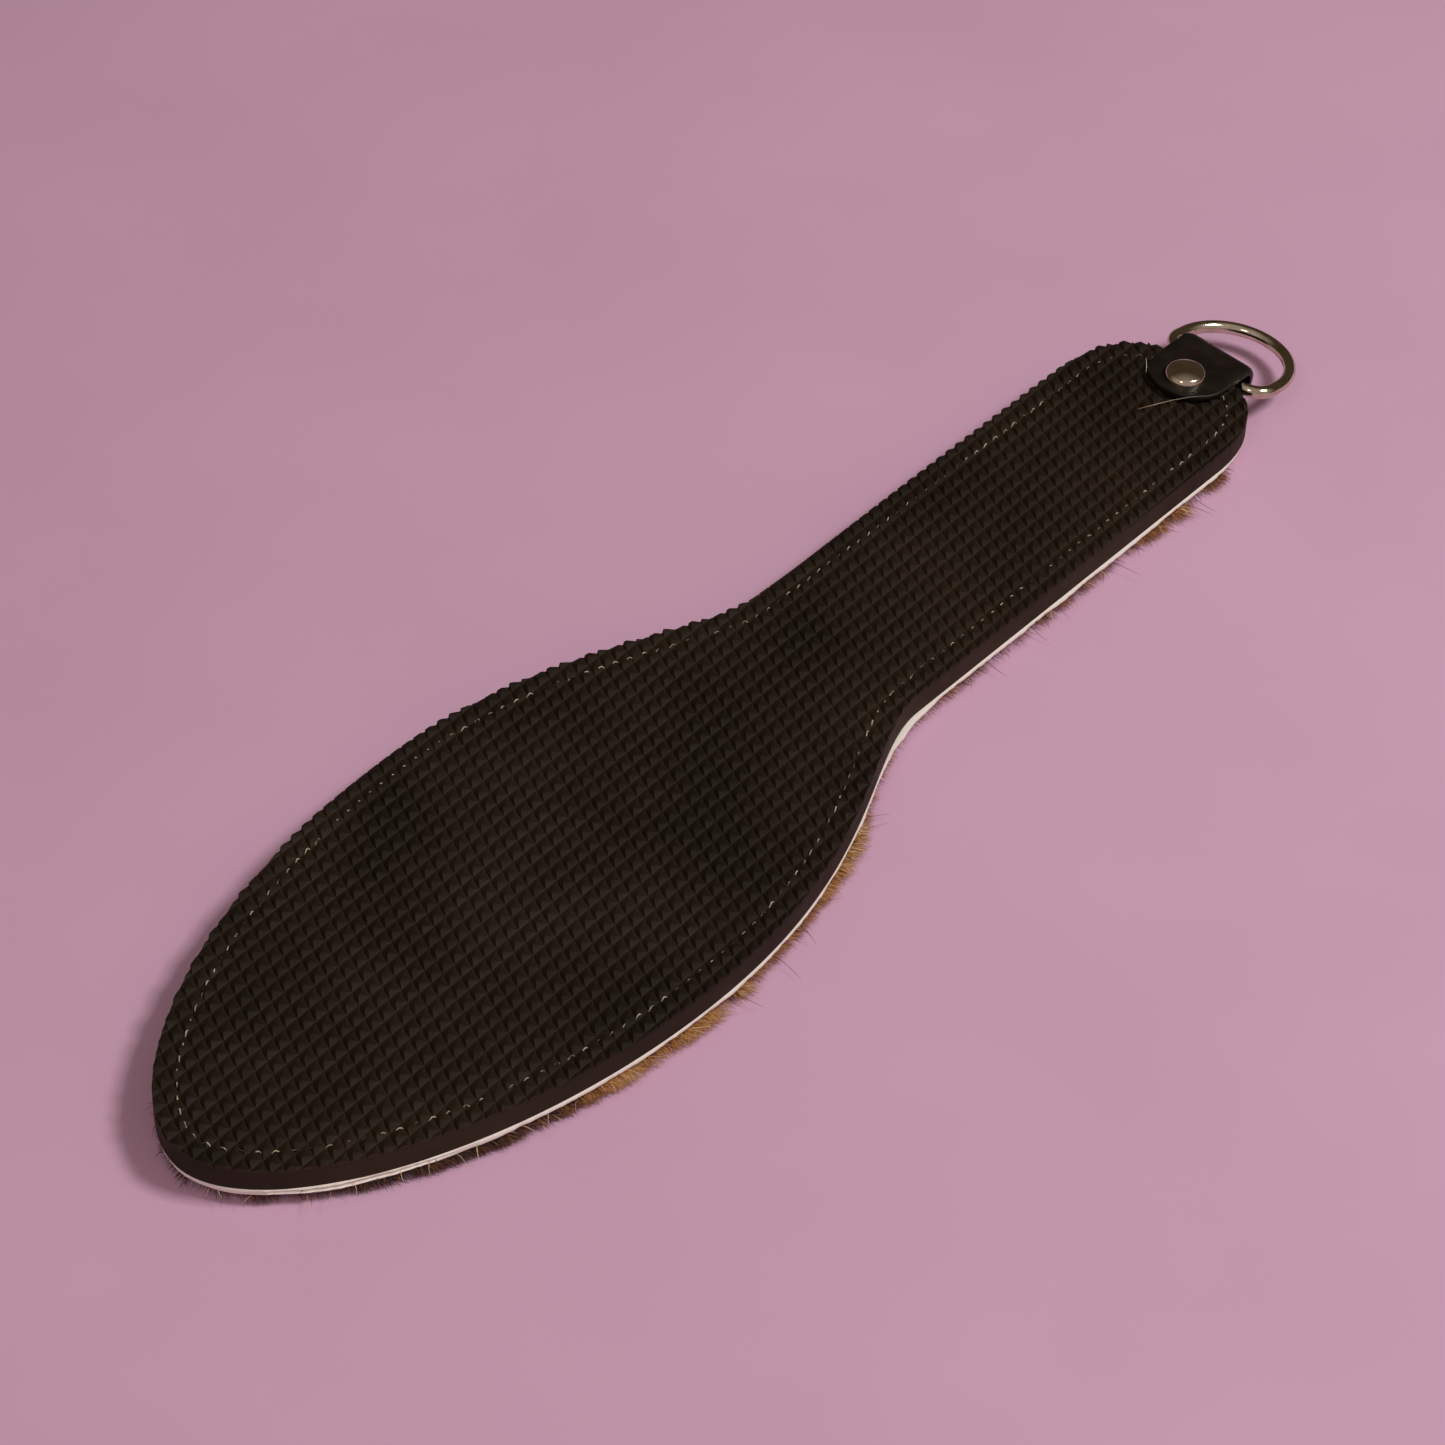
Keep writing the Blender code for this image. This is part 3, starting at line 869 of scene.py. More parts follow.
@dataclass
class HideLayer:
    """The skin of the hair-on hide: a pale, slightly uneven edge under the pad."""

    plan: PaddlePlan
    finish: Finish = field(default_factory=RawHide)
    bottom_z: float = 3.72
    top_z: float = 4.88
    overhang_near: float = 0.25
    overhang_far: float = -0.1
    # Near the tip the skin has split into two frayed lips: where, how long, how much deeper, the groove.
    split_at: float = 24.0
    split_reach: float = 17.0
    split_drop: float = 0.85
    split_groove: float = 0.95
    # Where the cut stands proud on the near side: distance from the tip, extra, and reach.
    bulges: tuple[tuple[float, float, float], ...] = (
        (201.0, 1.0, 10.0), (52.0, 0.15, 20.0), (262.0, 0.20, 46.0))

    def overhang(self, line: np.ndarray) -> np.ndarray:
        """How far the skin stands out from the pad at each point.

        Args:
            line: The pad's outline.

        Returns:
            One value for each point.
        """
        near = np.clip(-line[:, 1] / 14.0 + 0.3, 0.0, 1.0)
        along = line[:, 0] - self.plan.tip_x
        extra = sum(proud * np.exp(-((along - at) / reach) ** 2) for at, proud, reach in self.bulges)
        end = np.clip((along - 318.0) / 16.0, 0.0, 1.0)
        steady = self.overhang_far + (self.overhang_near - self.overhang_far + extra) * near
        steady = steady * (1 - end) - 0.3 * end
        return steady + wavering(line, 9.0, 0.16, 1.0) + wavering(line, 2.5, 0.08, 2.0)

    def build(self) -> bpy.types.Object:
        """Builds the skin with a rounded, ragged edge.

        Returns:
            The hide.
        """
        line = self.plan.outline(spacing=0.8)
        out = self.overhang(line)
        frayed = wavering(line, 1.4, 0.10, 5.0)
        lift = wavering(line, 16.0, 0.12, 7.0)
        ring = PaddlePlan.outward(line)
        near = np.clip(-line[:, 1] / 10.0 + 0.5, 0.0, 1.0)
        split = np.exp(-((line[:, 0] - self.plan.tip_x - self.split_at) / self.split_reach) ** 2) * near
        stack = []
        for inset, share in ((5.0, 0.0), (0.25, 0.0), (0.05, 0.22), (0.0, 0.5), (0.10, 0.8), (0.35, 1.0),
                             (5.0, 1.0)):
            reach = out - inset + (frayed if 0.0 < share < 1.0 else 0.0)
            reach -= split * self.split_groove if share == 0.5 else 0.0
            height = self.bottom_z + share * (self.top_z - self.bottom_z)
            stack.append((line + ring * reach[:, None], height))
        points, faces = layer(stack)
        around = len(line)
        edge = np.zeros(len(points))
        edge[around:-around] = 1.0
        low = np.tile(lift - split * self.split_drop, len(stack))
        sag = (self.top_z - points[:, 2]) / (self.top_z - self.bottom_z)
        points[:, 2] += edge * sag * low
        hide = make_piece("hide_backing_skin", points, faces, self.finish, crease=70.0)
        return hang(hide, Body.BRUSH, Slot.HIDE, "hide_backing")


@dataclass
class SeamThread:
    """One thread of the lock-stitched seam: crowns on the surface, dipping at every hole."""

    plan: PaddlePlan
    name: str
    replaced: str
    radius: float
    crown_z: float
    hole_z: float
    inset: float = 5.0
    stitch: float = 3.63
    lobes: int = 3
    twist_length: float = 2.2
    # A higher number makes the crowns shorter and the dips between them longer.
    sharpness: float = 2.2
    # How far the needle holes stray from the line.
    stray: float = 0.18
    finish: Finish = field(default_factory=WaxedThread)

    def build(self) -> bpy.types.Object:
        """Sweeps a three-lobed section that turns along the stitches.

        Returns:
            The thread as one closed loop.
        """
        line = self.plan.outline(-self.inset, 0.3)
        around = np.linalg.norm(np.roll(line, -1, axis=0) - line, axis=1)
        travelled = np.concatenate([[0.0], np.cumsum(around)[:-1]])
        stitches = round(around.sum() / self.stitch)
        phase = travelled / around.sum() * stitches
        crown = np.abs(np.sin(phase * math.pi)) ** self.sharpness
        z = self.hole_z + (self.crown_z - self.hole_z) * crown
        # Needle holes are never quite in line.
        wander = wavering(line, 3.0, self.stray, 9.0)
        line = line + PaddlePlan.outward(line) * wander[:, None]
        angles = np.linspace(0.0, 2 * math.pi, 9, endpoint=False)
        size = self.radius * (0.88 + 0.12 * np.cos(self.lobes * angles))
        section = np.column_stack([size * np.cos(angles), size * np.sin(angles)])
        step = round(around.sum() / self.twist_length) / len(line)
        points, faces = sweep(np.column_stack([line, z]), section, step)
        thread = make_piece(self.name, points, faces, self.finish, crease=80.0)
        return hang(thread, Body.BRUSH, Slot.THREAD, self.replaced)


# ---------------------------------------------------------------- the hair

@dataclass
class HairPile:
    """Short calf hair, combed towards the handle: a felted ground, the nap under it and the fringe."""

    plan: PaddlePlan
    finish: Finish = field(default_factory=CalfHair)
    ground_bottom: float = 1.9
    ground_top: float = 3.68
    root_z: float = 2.1
    floor_z: float = 0.06
    nap_angle: float = -14.0
    nap_count: int = 12000
    nap_pieces: int = 2
    fringe_count: int = 11500
    # Shortest and longest hairs of the nap, then the thinnest and thickest hairs of each kind. Real ones are
    # under 0.1 mm thick; they are drawn two to four times as thick so that they show.
    nap_length: tuple[float, float] = (7.0, 11.0)
    nap_width: tuple[float, float] = (0.20, 0.30)
    fringe_width: tuple[float, float] = (0.11, 0.20)
    long_width: tuple[float, float] = (0.12, 0.17)
    tab_box: tuple[float, float, float, float] = (143.6, 162.0, -12.8, 9.4)

    # Along the near edge: distance from the tip, hairs, length, reach, shade, and where the coat starts.
    near_edge: tuple[tuple[float, ...], ...] = (
        (0.0, 0.25, 3.6, 0.4, 0.18, 3.0), (14.0, 0.30, 3.8, 0.5, 0.18, 2.6),
        (26.0, 0.70, 4.6, 0.9, 0.15, 1.4), (50.0, 0.80, 4.8, 1.1, 0.16, 1.0),
        (66.0, 0.90, 5.0, 1.2, 0.34, 1.0), (76.0, 1.00, 5.4, 1.7, 0.64, 0.9),
        (112.0, 1.00, 5.6, 2.0, 0.68, 0.9), (119.0, 0.80, 5.2, 2.0, 0.66, 1.2),
        (122.0, 0.40, 4.2, 1.2, 0.50, 2.2), (143.0, 0.30, 4.0, 1.1, 0.46, 2.6),
        (147.0, 0.60, 4.4, 1.0, 0.58, 2.0), (153.0, 0.85, 5.4, 2.0, 0.66, 1.0),
        (166.0, 0.80, 5.6, 2.2, 0.64, 1.0), (173.0, 0.35, 4.6, 1.3, 0.48, 2.6),
        (178.0, 0.25, 3.8, 1.0, 0.46, 2.8), (212.0, 0.22, 3.6, 1.0, 0.44, 3.0),
        (222.0, 0.24, 3.6, 1.0, 0.34, 3.0), (250.0, 0.28, 3.8, 1.2, 0.40, 2.8),
        (286.0, 0.26, 3.6, 1.1, 0.38, 2.8), (292.0, 0.50, 4.6, 1.6, 0.46, 2.0),
        (304.0, 0.65, 5.2, 2.6, 0.52, 1.6), (308.0, 0.12, 3.6, 1.0, 0.34, 3.4),
        (314.0, 0.12, 3.4, 0.8, 0.32, 3.0), (317.0, 0.80, 4.6, 1.9, 0.46, 1.4),
        (322.0, 0.50, 4.2, 1.4, 0.42, 1.8), (326.0, 0.05, 2.5, 0.3, 0.28, 4.0),
        (345.0, 0.03, 2.0, 0.2, 0.28, 4.0))
    # Along the far edge, which lies in the brush's own shade; its darker hair shades are painted shade.
    far_edge: tuple[tuple[float, ...], ...] = (
        (0.0, 0.25, 3.6, 0.4, 0.18, 3.0), (24.0, 0.25, 3.6, 0.5, 0.18, 2.4),
        (60.0, 0.50, 4.5, 1.0, 0.26, 1.4), (180.0, 0.40, 4.0, 1.0, 0.34, 1.6),
        (250.0, 0.25, 3.4, 0.8, 0.30, 2.4), (320.0, 0.25, 3.4, 0.8, 0.32, 2.4),
        (345.0, 0.03, 2.0, 0.2, 0.28, 4.0))

    def edge_profile(self, line: np.ndarray) -> np.ndarray:
        """What the coat does at each point of the outline.

        Args:
            line: The outline's points.

        Returns:
            Columns for hairs, length, reach, shade and the coat's inset.
        """
        at = line[:, 0] - self.plan.tip_x
        sides = []
        for table in (self.near_edge, self.far_edge):
            keys = np.array(table)
            sides.append(np.column_stack([np.interp(at, keys[:, 0], keys[:, k]) for k in range(1, 6)]))
        return np.where((line[:, 1] < 0.0)[:, None], sides[0], sides[1])

    def in_parting(self, x: np.ndarray, y: np.ndarray, margin: float = 0.0) -> np.ndarray:
        """Whether points lie where the tab's lower leg parts the hair."""
        low_x, high_x, low_y, high_y = self.tab_box
        return (x > low_x - margin) & (x < high_x + margin) & (y > low_y - margin) & (y < high_y + margin)

    def strands(self, paths: np.ndarray, width: np.ndarray, shade: np.ndarray, name: str,
                seed: int) -> bpy.types.Object:
        """Tapered three-sided hairs along given paths.

        Args:
            paths: Hairs by points by x, y, z.
            width: Root width of each hair.
            shade: Shade of each hair.
            name: The piece's name.
            seed: Seed for the turn of each hair about itself.

        Returns:
            All the hairs as one piece.
        """
        hairs, knots, _ = paths.shape
        along = paths[:, -1] - paths[:, 0]
        along /= np.linalg.norm(along, axis=1)[:, None]
        spin = np.random.default_rng(seed).uniform(0.0, 2 * math.pi, hairs)
        side = np.cross(along, (0.02, 0.03, 1.0))
        side /= np.linalg.norm(side, axis=1)[:, None]
        other = np.cross(along, side)
        taper = np.array([0.85, 1.0, 0.72, 0.45, 0.2])[:knots - 1]
        corners = []
        for k in range(3):
            turn = spin + k * 2 * math.pi / 3
            corners.append(np.cos(turn)[:, None] * side + np.sin(turn)[:, None] * other)
        ring = np.stack(corners, axis=1)
        radius = width[:, None, None, None] / 2 * taper[:, None, None]
        body = paths[:, :-1, None, :] + ring[:, None] * radius
        points = np.concatenate([body.reshape(hairs, -1, 3), paths[:, -1:, :]], axis=1)
        points[..., 2] = np.maximum(points[..., 2], self.floor_z)
        per_hair = points.shape[1]
        pattern: Faces = [(2, 1, 0)]
        for k in range(knots - 2):
            for c in range(3):
                n = (c + 1) % 3
                pattern.append((3 * k + c, 3 * k + n, 3 * k + 3 + n, 3 * k + 3 + c))
        last = 3 * (knots - 2)
        pattern += [(last + c, last + (c + 1) % 3, per_hair - 1) for c in range(3)]
        faces = [tuple(i + h * per_hair for i in face) for h in range(hairs) for face in pattern]
        mesh = bpy.data.meshes.new(name)
        mesh.from_pydata((points.reshape(-1, 3) * MM).tolist(), [], faces)
        mesh.materials.append(self.finish.material())
        lift = np.concatenate([np.repeat(np.linspace(-0.10, 0.06, knots - 1), 3), [0.10]])
        values = np.clip(shade[:, None] + lift[None, :], 0.0, 1.0).ravel()
        layer_of_shade = mesh.attributes.new(self.finish.shade_name, "FLOAT", "POINT")
        layer_of_shade.data.foreach_set("value", values)
        mesh.shade_smooth()
        mesh.update()
        piece = bpy.data.objects.new(name, mesh)
        bpy.context.scene.collection.objects.link(piece)
        return piece

    def ground(self) -> bpy.types.Object:
        """The felted roots: a layer just inside the outline, parted round the tab.

        Returns:
            The ground.
        """
        line = self.plan.outline()
        normals = PaddlePlan.outward(line)
        inset = self.edge_profile(line)[:, 4] + wavering(line, 5.0, 0.3, 4.0)
        edge = line - normals * inset[:, None]
        stack = [(edge - normals * 1.2, self.ground_bottom),
                 (edge - normals * 0.3, self.ground_bottom + 0.3),
                 (edge, self.ground_top - 0.3),
                 (edge - normals * 0.2, self.ground_top)]
        points, faces = layer(stack)
        ground = make_piece("hair_ground", points, faces, self.finish, crease=60.0)
        low_x, high_x, low_y, high_y = self.tab_box
        plan = np.vstack([[(high_x + 8.0, low_y), (high_x + 8.0, high_y)],
                          arc((low_x + 9.5, high_y - 9.5), 9.5, 90.0, 180.0, 10),
                          arc((low_x + 9.5, low_y + 9.5), 9.5, 180.0, 270.0, 10)])
        points, faces = layer([(plan, self.ground_bottom - 2.0), (plan, self.ground_top + 2.0)])
        boolean(ground, make_piece("parting_cutter", points, faces, self.finish), "DIFFERENCE")
        mesh = ground.data
        values = np.array([self.patch(v.co.x / MM, v.co.y / MM) for v in mesh.vertices]) * 0.8
        mesh.attributes.new(self.finish.shade_name, "FLOAT", "POINT").data.foreach_set("value", values)
        return ground

    def patch(self, x: float, y: float) -> float:
        """Shade of the coat at a place: dark at the tip, ginger towards the neck."""
        along = x - self.plan.tip_x
        trend = 0.20 + 0.30 * min(1.0, max(0.0, (along - 40.0) / 70.0))
        return trend + 0.22 * noise.noise(Vector((x / 38.0, y / 30.0, 6.0)))

    def nap(self, number: int) -> bpy.types.Object:
        """Hairs that lie flat over the whole underside.

        Args:
            number: Which of the nap's pieces this is.

        Returns:
            One piece of the nap.
        """
        chance = np.random.default_rng(100 + number)
        spots = chance.uniform((self.plan.tip_x, -50.0), (self.plan.tip_x + 344.0, 50.0),
                               (self.nap_count * 3, 2))
        depth, station = self.plan.locate(spots)
        depth = depth - self.edge_profile(self.plan.outline())[station, 4]
        x, y = spots.T
        keep = (depth > 0.3) & ~self.in_parting(x, y, 0.6)
        spots = spots[keep][:self.nap_count]
        depth = depth[keep][:self.nap_count]
        x, y = spots.T
        hairs = len(spots)
        swirl = np.array([noise.noise(Vector((px / 60.0, py / 45.0, 2.0 + number))) for px, py in spots])
        angle = np.radians(self.nap_angle + 34.0 * swirl + chance.normal(0.0, 9.0, hairs))
        length = chance.uniform(*self.nap_length, hairs)
        tab_ahead = self.in_parting(x + 9.0, y, 1.0) | self.in_parting(x + 4.0, y, 1.0)
        length = np.where(tab_ahead, np.minimum(length, np.maximum(1.5, self.tab_box[0] - x)), length)
        length = np.minimum(length, np.maximum(depth + 2.5, 3.0))
        heading = np.column_stack([np.cos(angle), np.sin(angle)])
        bend = chance.normal(0.0, 0.12, hairs)
        low = chance.uniform(0.10, 1.2, hairs)
        paths = np.empty((hairs, 4, 3))
        for k, share in enumerate((0.0, 0.3, 0.65, 1.0)):
            across = np.column_stack([-heading[:, 1], heading[:, 0]]) * (bend * share ** 2)[:, None]
            paths[:, k, :2] = spots + (heading * share + across) * length[:, None]
            paths[:, k, 2] = self.root_z + (low - self.root_z) * min(1.0, share * 1.7) ** 0.8
        shade = np.array([self.patch(px, py) for px, py in spots]) + chance.normal(0.0, 0.07, hairs)
        width = chance.uniform(*self.nap_width, hairs)
        return self.strands(paths, width, shade, f"hair_nap_{number}", number)

    def fringe(self) -> bpy.types.Object:
        """Hairs that stand out under the hide's edge in small tufts.

        Returns:
            The fringe as one piece.
        """
        chance = np.random.default_rng(7)
        line = self.plan.outline(spacing=0.25)
        normals = PaddlePlan.outward(line)
        profile = self.edge_profile(line)
        tufts = np.array([noise.noise(Vector((i * 0.25 / 2.6, 0.5, 0.5))) for i in range(len(line))])
        chosen_by = profile[:, 0] * np.clip(0.65 + 1.3 * tufts, 0.05, 2.0)
        stations = chance.choice(len(line), self.fringe_count, p=chosen_by / chosen_by.sum())
        hairs = len(stations)
        _, length, reach, shade, bare = profile[stations].T
        tuft = tufts[stations]
        normal = normals[stations]
        nap = np.radians(self.nap_angle)
        # Every hair leans between straight out and the way the coat is combed.
        lean = 0.38 + 0.30 * tuft + chance.normal(0.0, 0.26, hairs)
        heading = normal * (1.0 - lean)[:, None] + np.array([math.cos(nap), math.sin(nap)]) * lean[:, None]
        heading /= np.linalg.norm(heading, axis=1)[:, None]
        outward = np.maximum((heading * normal).sum(axis=1), 0.15)
        inset = bare + chance.uniform(-0.5, 2.2, hairs)
        spots = line[stations] - normal * inset[:, None]
        reach = reach * chance.triangular(0.20, 0.70, 1.75, hairs) * (1.0 + 0.35 * tuft)
        run = np.minimum((inset + reach) / outward, length * 1.45)
        root = chance.uniform(2.4, 3.6, hairs)
        end = chance.uniform(0.10, 2.2, hairs)
        bend = chance.normal(0.0, 0.10, hairs)
        paths = np.empty((hairs, 4, 3))
        for k, share in enumerate((0.0, 0.35, 0.7, 1.0)):
            across = np.column_stack([-heading[:, 1], heading[:, 0]]) * (bend * share ** 2)[:, None]
            paths[:, k, :2] = spots + (heading * share + across) * run[:, None]
            paths[:, k, 2] = root + (end - root) * share ** 1.3
        keep = ~self.in_parting(paths[:, -1, 0], paths[:, -1, 1], 0.5)
        keep &= ~self.in_parting(paths[:, 0, 0], paths[:, 0, 1], 0.5)
        shade = shade + chance.normal(0.0, 0.11, hairs) + 0.22 * tuft
        width = chance.uniform(*self.fringe_width, hairs)
        return self.strands(paths[keep], width[keep], shade[keep], "hair_fringe", 41)

    def guard_hairs(self) -> bpy.types.Object:
        """The few long single hairs that stick far out, and pale fibres of the skin itself.

        Returns:
            They as one piece.
        """
        chance = np.random.default_rng(23)
        line = self.plan.outline(spacing=0.25)
        normals = PaddlePlan.outward(line)
        at = line[:, 0] - self.plan.tip_x
        near = line[:, 1] < 0.0
        # Distance from the tip on the near side, length outside, lean towards the handle, shade.
        rows = [(114.0, 7.5, 0.20, 0.25), (128.0, 8.0, 0.10, 0.22), (139.0, 6.0, -0.25, 0.22),
                (146.0, 7.0, 0.95, 0.40), (152.0, 7.5, 1.00, 0.42), (158.0, 9.0, 1.05, 0.48),
                (163.0, 6.0, 0.75, 0.36), (169.0, 8.0, 0.95, 0.45), (173.0, 6.5, 0.80, 0.40),
                (232.0, 5.5, -0.35, 0.24), (248.0, 6.0, -0.05, 0.40), (258.0, 4.5, -0.20, 0.22),
                (279.0, 8.5, 0.10, 0.36), (286.0, 4.0, 0.50, 0.30), (296.0, 6.0, 0.55, 0.40),
                (301.0, 6.5, 0.70, 0.42), (303.0, 6.0, 0.25, 0.30), (307.0, 7.0, 0.60, 0.38),
                (311.0, 6.5, -0.10, 0.26), (60.0, 4.5, 0.4, 0.85), (62.5, 4.0, 0.5, 0.90),
                (18.0, 4.2, -0.2, 0.8), (14.0, 4.0, 0.0, 0.75), (30.0, 3.5, -0.2, 0.55)]
        paths = []
        shades = []
        for place, length, lean, shade in rows:
            station = int(np.argmin(np.where(near, np.abs(at - place), 1e9)))
            normal = normals[station]
            forward = np.array([-normal[1], normal[0]])
            heading = normal * math.cos(lean * 0.9) + forward * math.sin(lean * 0.9)
            start = line[station] - normal * 1.0
            rise = chance.uniform(0.6, 2.4)
            bend = chance.normal(0.0, 0.12)
            across = np.array([-heading[1], heading[0]])
            run = length + 1.0
            paths.append([(*(start + (heading * t + across * bend * t * t) * run), 2.4 + (rise - 2.4) * t)
                          for t in (0.0, 0.3, 0.6, 0.82, 1.0)])
            shades.append(shade)
        pick = chance.choice(np.flatnonzero(near & (at > 215.0) & (at < 315.0)), 46)
        pick = np.concatenate([pick, chance.choice(np.flatnonzero(near & (at < 75.0)), 40),
                               chance.choice(np.flatnonzero(~near & (at < 300.0)), 70)])
        for station in pick:
            normal = normals[station]
            swing = chance.normal(0.0, 0.7)
            heading = normal * math.cos(swing) + np.array([-normal[1], normal[0]]) * math.sin(swing)
            run = chance.uniform(1.4, 3.4)
            start = line[station]
            high = chance.uniform(2.6, 4.2)
            across = np.array([-heading[1], heading[0]]) * chance.normal(0.0, 0.35)
            paths.append([(*(start + (heading * t + across * t * t) * run), high - 1.8 * t * t)
                          for t in (0.0, 0.3, 0.6, 0.82, 1.0)])
            shades.append(float(chance.choice([0.2, 0.3, 0.9], p=[0.45, 0.3, 0.25])))
        widths = chance.uniform(*self.long_width, len(paths))
        return self.strands(np.array(paths), widths, np.array(shades), "hair_long", 57)

    def lint(self) -> bpy.types.Object:
        """Two stray hairs lying on top: one beside the tab, one under its near corner.

        Returns:
            They as one piece.
        """
        strays = np.array([
            [(147.3, 6.7, 12.0), (148.6, 7.6, 12.4), (149.9, 8.6, 12.5), (151.2, 9.7, 12.4),
             (152.5, 10.8, 12.1)],
            [(134.7, -0.3, 11.9), (138.4, -2.5, 12.3), (142.2, -4.9, 12.7), (145.6, -7.7, 13.2),
             (148.8, -10.7, 13.6)],
        ])
        return self.strands(strays, np.array([0.28, 0.17]), np.array([1.0, 0.90]), "stray_hairs", 3)

    def build(self) -> list[bpy.types.Object]:
        """Builds the whole pile.

        Returns:
            Its pieces.
        """
        pieces = [hang(self.ground(), Body.BRUSH, Slot.HAIR, "hair_pile")]
        for number in range(1, self.nap_pieces + 1):
            pieces.append(hang(self.nap(number), Body.BRUSH, Slot.HAIR))
        for piece in (self.fringe(), self.guard_hairs(), self.lint()):
            pieces.append(hang(piece, Body.BRUSH, Slot.HAIR))
        return pieces


# ---------------------------------------------------------------- tab, rivet and ring

@dataclass
class HangingTab:
    """A leather strip folded round the ring's bar and riveted through the brush."""

    finish: Finish = field(default_factory=FinishedLeather)
    tip_x: float = -183.95
    centre_y: float = -1.7
    width: float = 20.8
    thickness: float = 1.4
    inner_end_at: float = 328.2
    corner_radius: float = 9.5
    body_length: float = 343.6
    fold_at: float = 348.8
    fold_skew: float = 0.062
    fold_corner: float = 2.2
    fold_radius: float = 2.6
    dip: float = 0.5
    upper_z: float = 12.5
    lower_z: float = 2.3
    rivet_at: float = 335.7
    dimple: float = 0.38
    columns: int = 26

    def centre_line(self) -> np.ndarray:
        """Side view of the strip: upper leg, fold round the bar, lower leg."""
        start = self.tip_x + self.inner_end_at
        fold = self.tip_x + self.fold_at
        dip_x = self.tip_x + self.body_length + 0.3
        fold_z = self.upper_z - self.dip - self.fold_radius
        middle = (dip_x + fold) / 2
        top = fold_z + self.fold_radius
        flat = fold - 5.4
        # The rounded corners need rows that crowd together towards the end.
        ease = self.corner_radius * (1.0 - np.cos(np.radians(np.linspace(0.0, 90.0, 12))))
        upper = np.column_stack([start + ease, np.full(12, self.upper_z)])
        lower = np.column_stack([start + ease[::-1], np.full(12, self.lower_z)])
        return np.vstack([
            upper,
            bezier((upper[-1, 0] + 0.7, self.upper_z), (dip_x - 4.0, self.upper_z),
                   (dip_x - 2.0, self.upper_z), (dip_x, self.upper_z), 12),
            bezier((dip_x, self.upper_z), (middle, self.upper_z), (middle, top), (fold, top), 7),
            arc((fold, fold_z), self.fold_radius, 90.0, -90.0, 20)[:-1],
            bezier((fold, fold_z - self.fold_radius), (fold - 3.6, fold_z - self.fold_radius),
                   (fold, self.lower_z), (flat, self.lower_z), 16),
            bezier((flat, self.lower_z), (flat - 2.0, self.lower_z), (lower[0, 0] + 3.0, self.lower_z),
                   (lower[0, 0] + 0.7, self.lower_z), 10),
            lower,
        ])

    def section(self, half: float, thick: float) -> np.ndarray:
        """Closed section of the strip: across and out of its surface.

        Args:
            half: Half its width here.
            thick: Its thickness here.

        Returns:
            The section's points, upper face first.
        """
        flat = np.linspace(1.0, -1.0, self.columns) * (half - 0.34)
        rim = thick / 2 * np.array([0.92, 0.58, 0.0, -0.58, -0.92])
        side = half - np.array([0.12, 0.02, 0.0, 0.02, 0.12])
        face = np.column_stack([flat, np.full(self.columns, thick / 2)])
        left = np.column_stack([-side, rim])
        back = np.column_stack([flat[::-1], np.full(self.columns, -thick / 2)])
        right = np.column_stack([side[::-1], rim[::-1]])
        return np.vstack([face, left, back, right])

    def build(self) -> bpy.types.Object:
        """Sweeps the section along the fold and presses the rivet's dimple into the top.

        Returns:
            The tab.
        """
        line = self.centre_line()
        ahead = np.gradient(line, axis=0)
        ahead /= np.linalg.norm(ahead, axis=1)[:, None]
        normal = np.column_stack([-ahead[:, 1], ahead[:, 0]])
        start = self.tip_x + self.inner_end_at
        rows = []
        last = len(line) - 1
        for i, (x, z) in enumerate(line):
            left_over = max(0.0, self.corner_radius - (x - start))
            half = self.width / 2 - self.corner_radius
            half += math.sqrt(max(self.corner_radius ** 2 - left_over ** 2, 0.0))
            thick = self.thickness * (0.55 if i in (0, last) else 0.95 if i in (1, last - 1) else 1.0)
            section = self.section(half, thick)
            rows.append(np.column_stack([x + section[:, 1] * normal[i, 0], self.centre_y + section[:, 0],
                                         z + section[:, 1] * normal[i, 1]]))
        around = len(rows[0])
        points = np.vstack(rows)
        self.press(points)
        self.skew(points)
        faces = loops_to_faces(len(rows), around, closed_along=False)
        for first in (0, around * (len(rows) - 1)):
            faces += self.end_faces(first)
        tab = make_piece("hanging_tab_leather", points, faces, self.finish, crease=60.0)
        return hang(tab, Body.BRUSH, Slot.LEATHER, "hanging_tab")

    def end_faces(self, first: int) -> Faces:
        """Quads across one end of the strip.

        Args:
            first: The end loop's first vertex.

        Returns:
            Its faces.
        """
        around = 2 * self.columns + 10
        upper = [first + i for i in range(self.columns)]
        lower = [first + self.columns + 5 + i for i in range(self.columns)][::-1]
        faces: Faces = [(upper[i], upper[i + 1], lower[i + 1], lower[i]) for i in range(self.columns - 1)]
        left = [first + self.columns - 1 + i for i in range(7)]
        right = [first + (around - 6 + i) % around for i in range(6)] + [first]
        return faces + [tuple(left), tuple(right)]

    def skew(self, points: np.ndarray) -> None:
        """Sets the fold a little askew, and draws its two corners in.

        Args:
            points: The strip's vertices, changed in place.
        """
        start = self.tip_x + self.body_length - 6.0
        past = np.clip((points[:, 0] - start) / (self.tip_x + self.fold_at - start), 0.0, 1.3)
        y = points[:, 1] - self.centre_y
        edge = np.clip((np.abs(y) - (self.width / 2 - self.fold_corner)) / self.fold_corner, 0.0, 1.0)
        drawn_in = self.fold_corner * 0.55 * (1.0 - np.sqrt(1.0 - np.minimum(edge, 0.999) ** 2))
        points[:, 0] += past * (self.fold_skew * y - drawn_in)

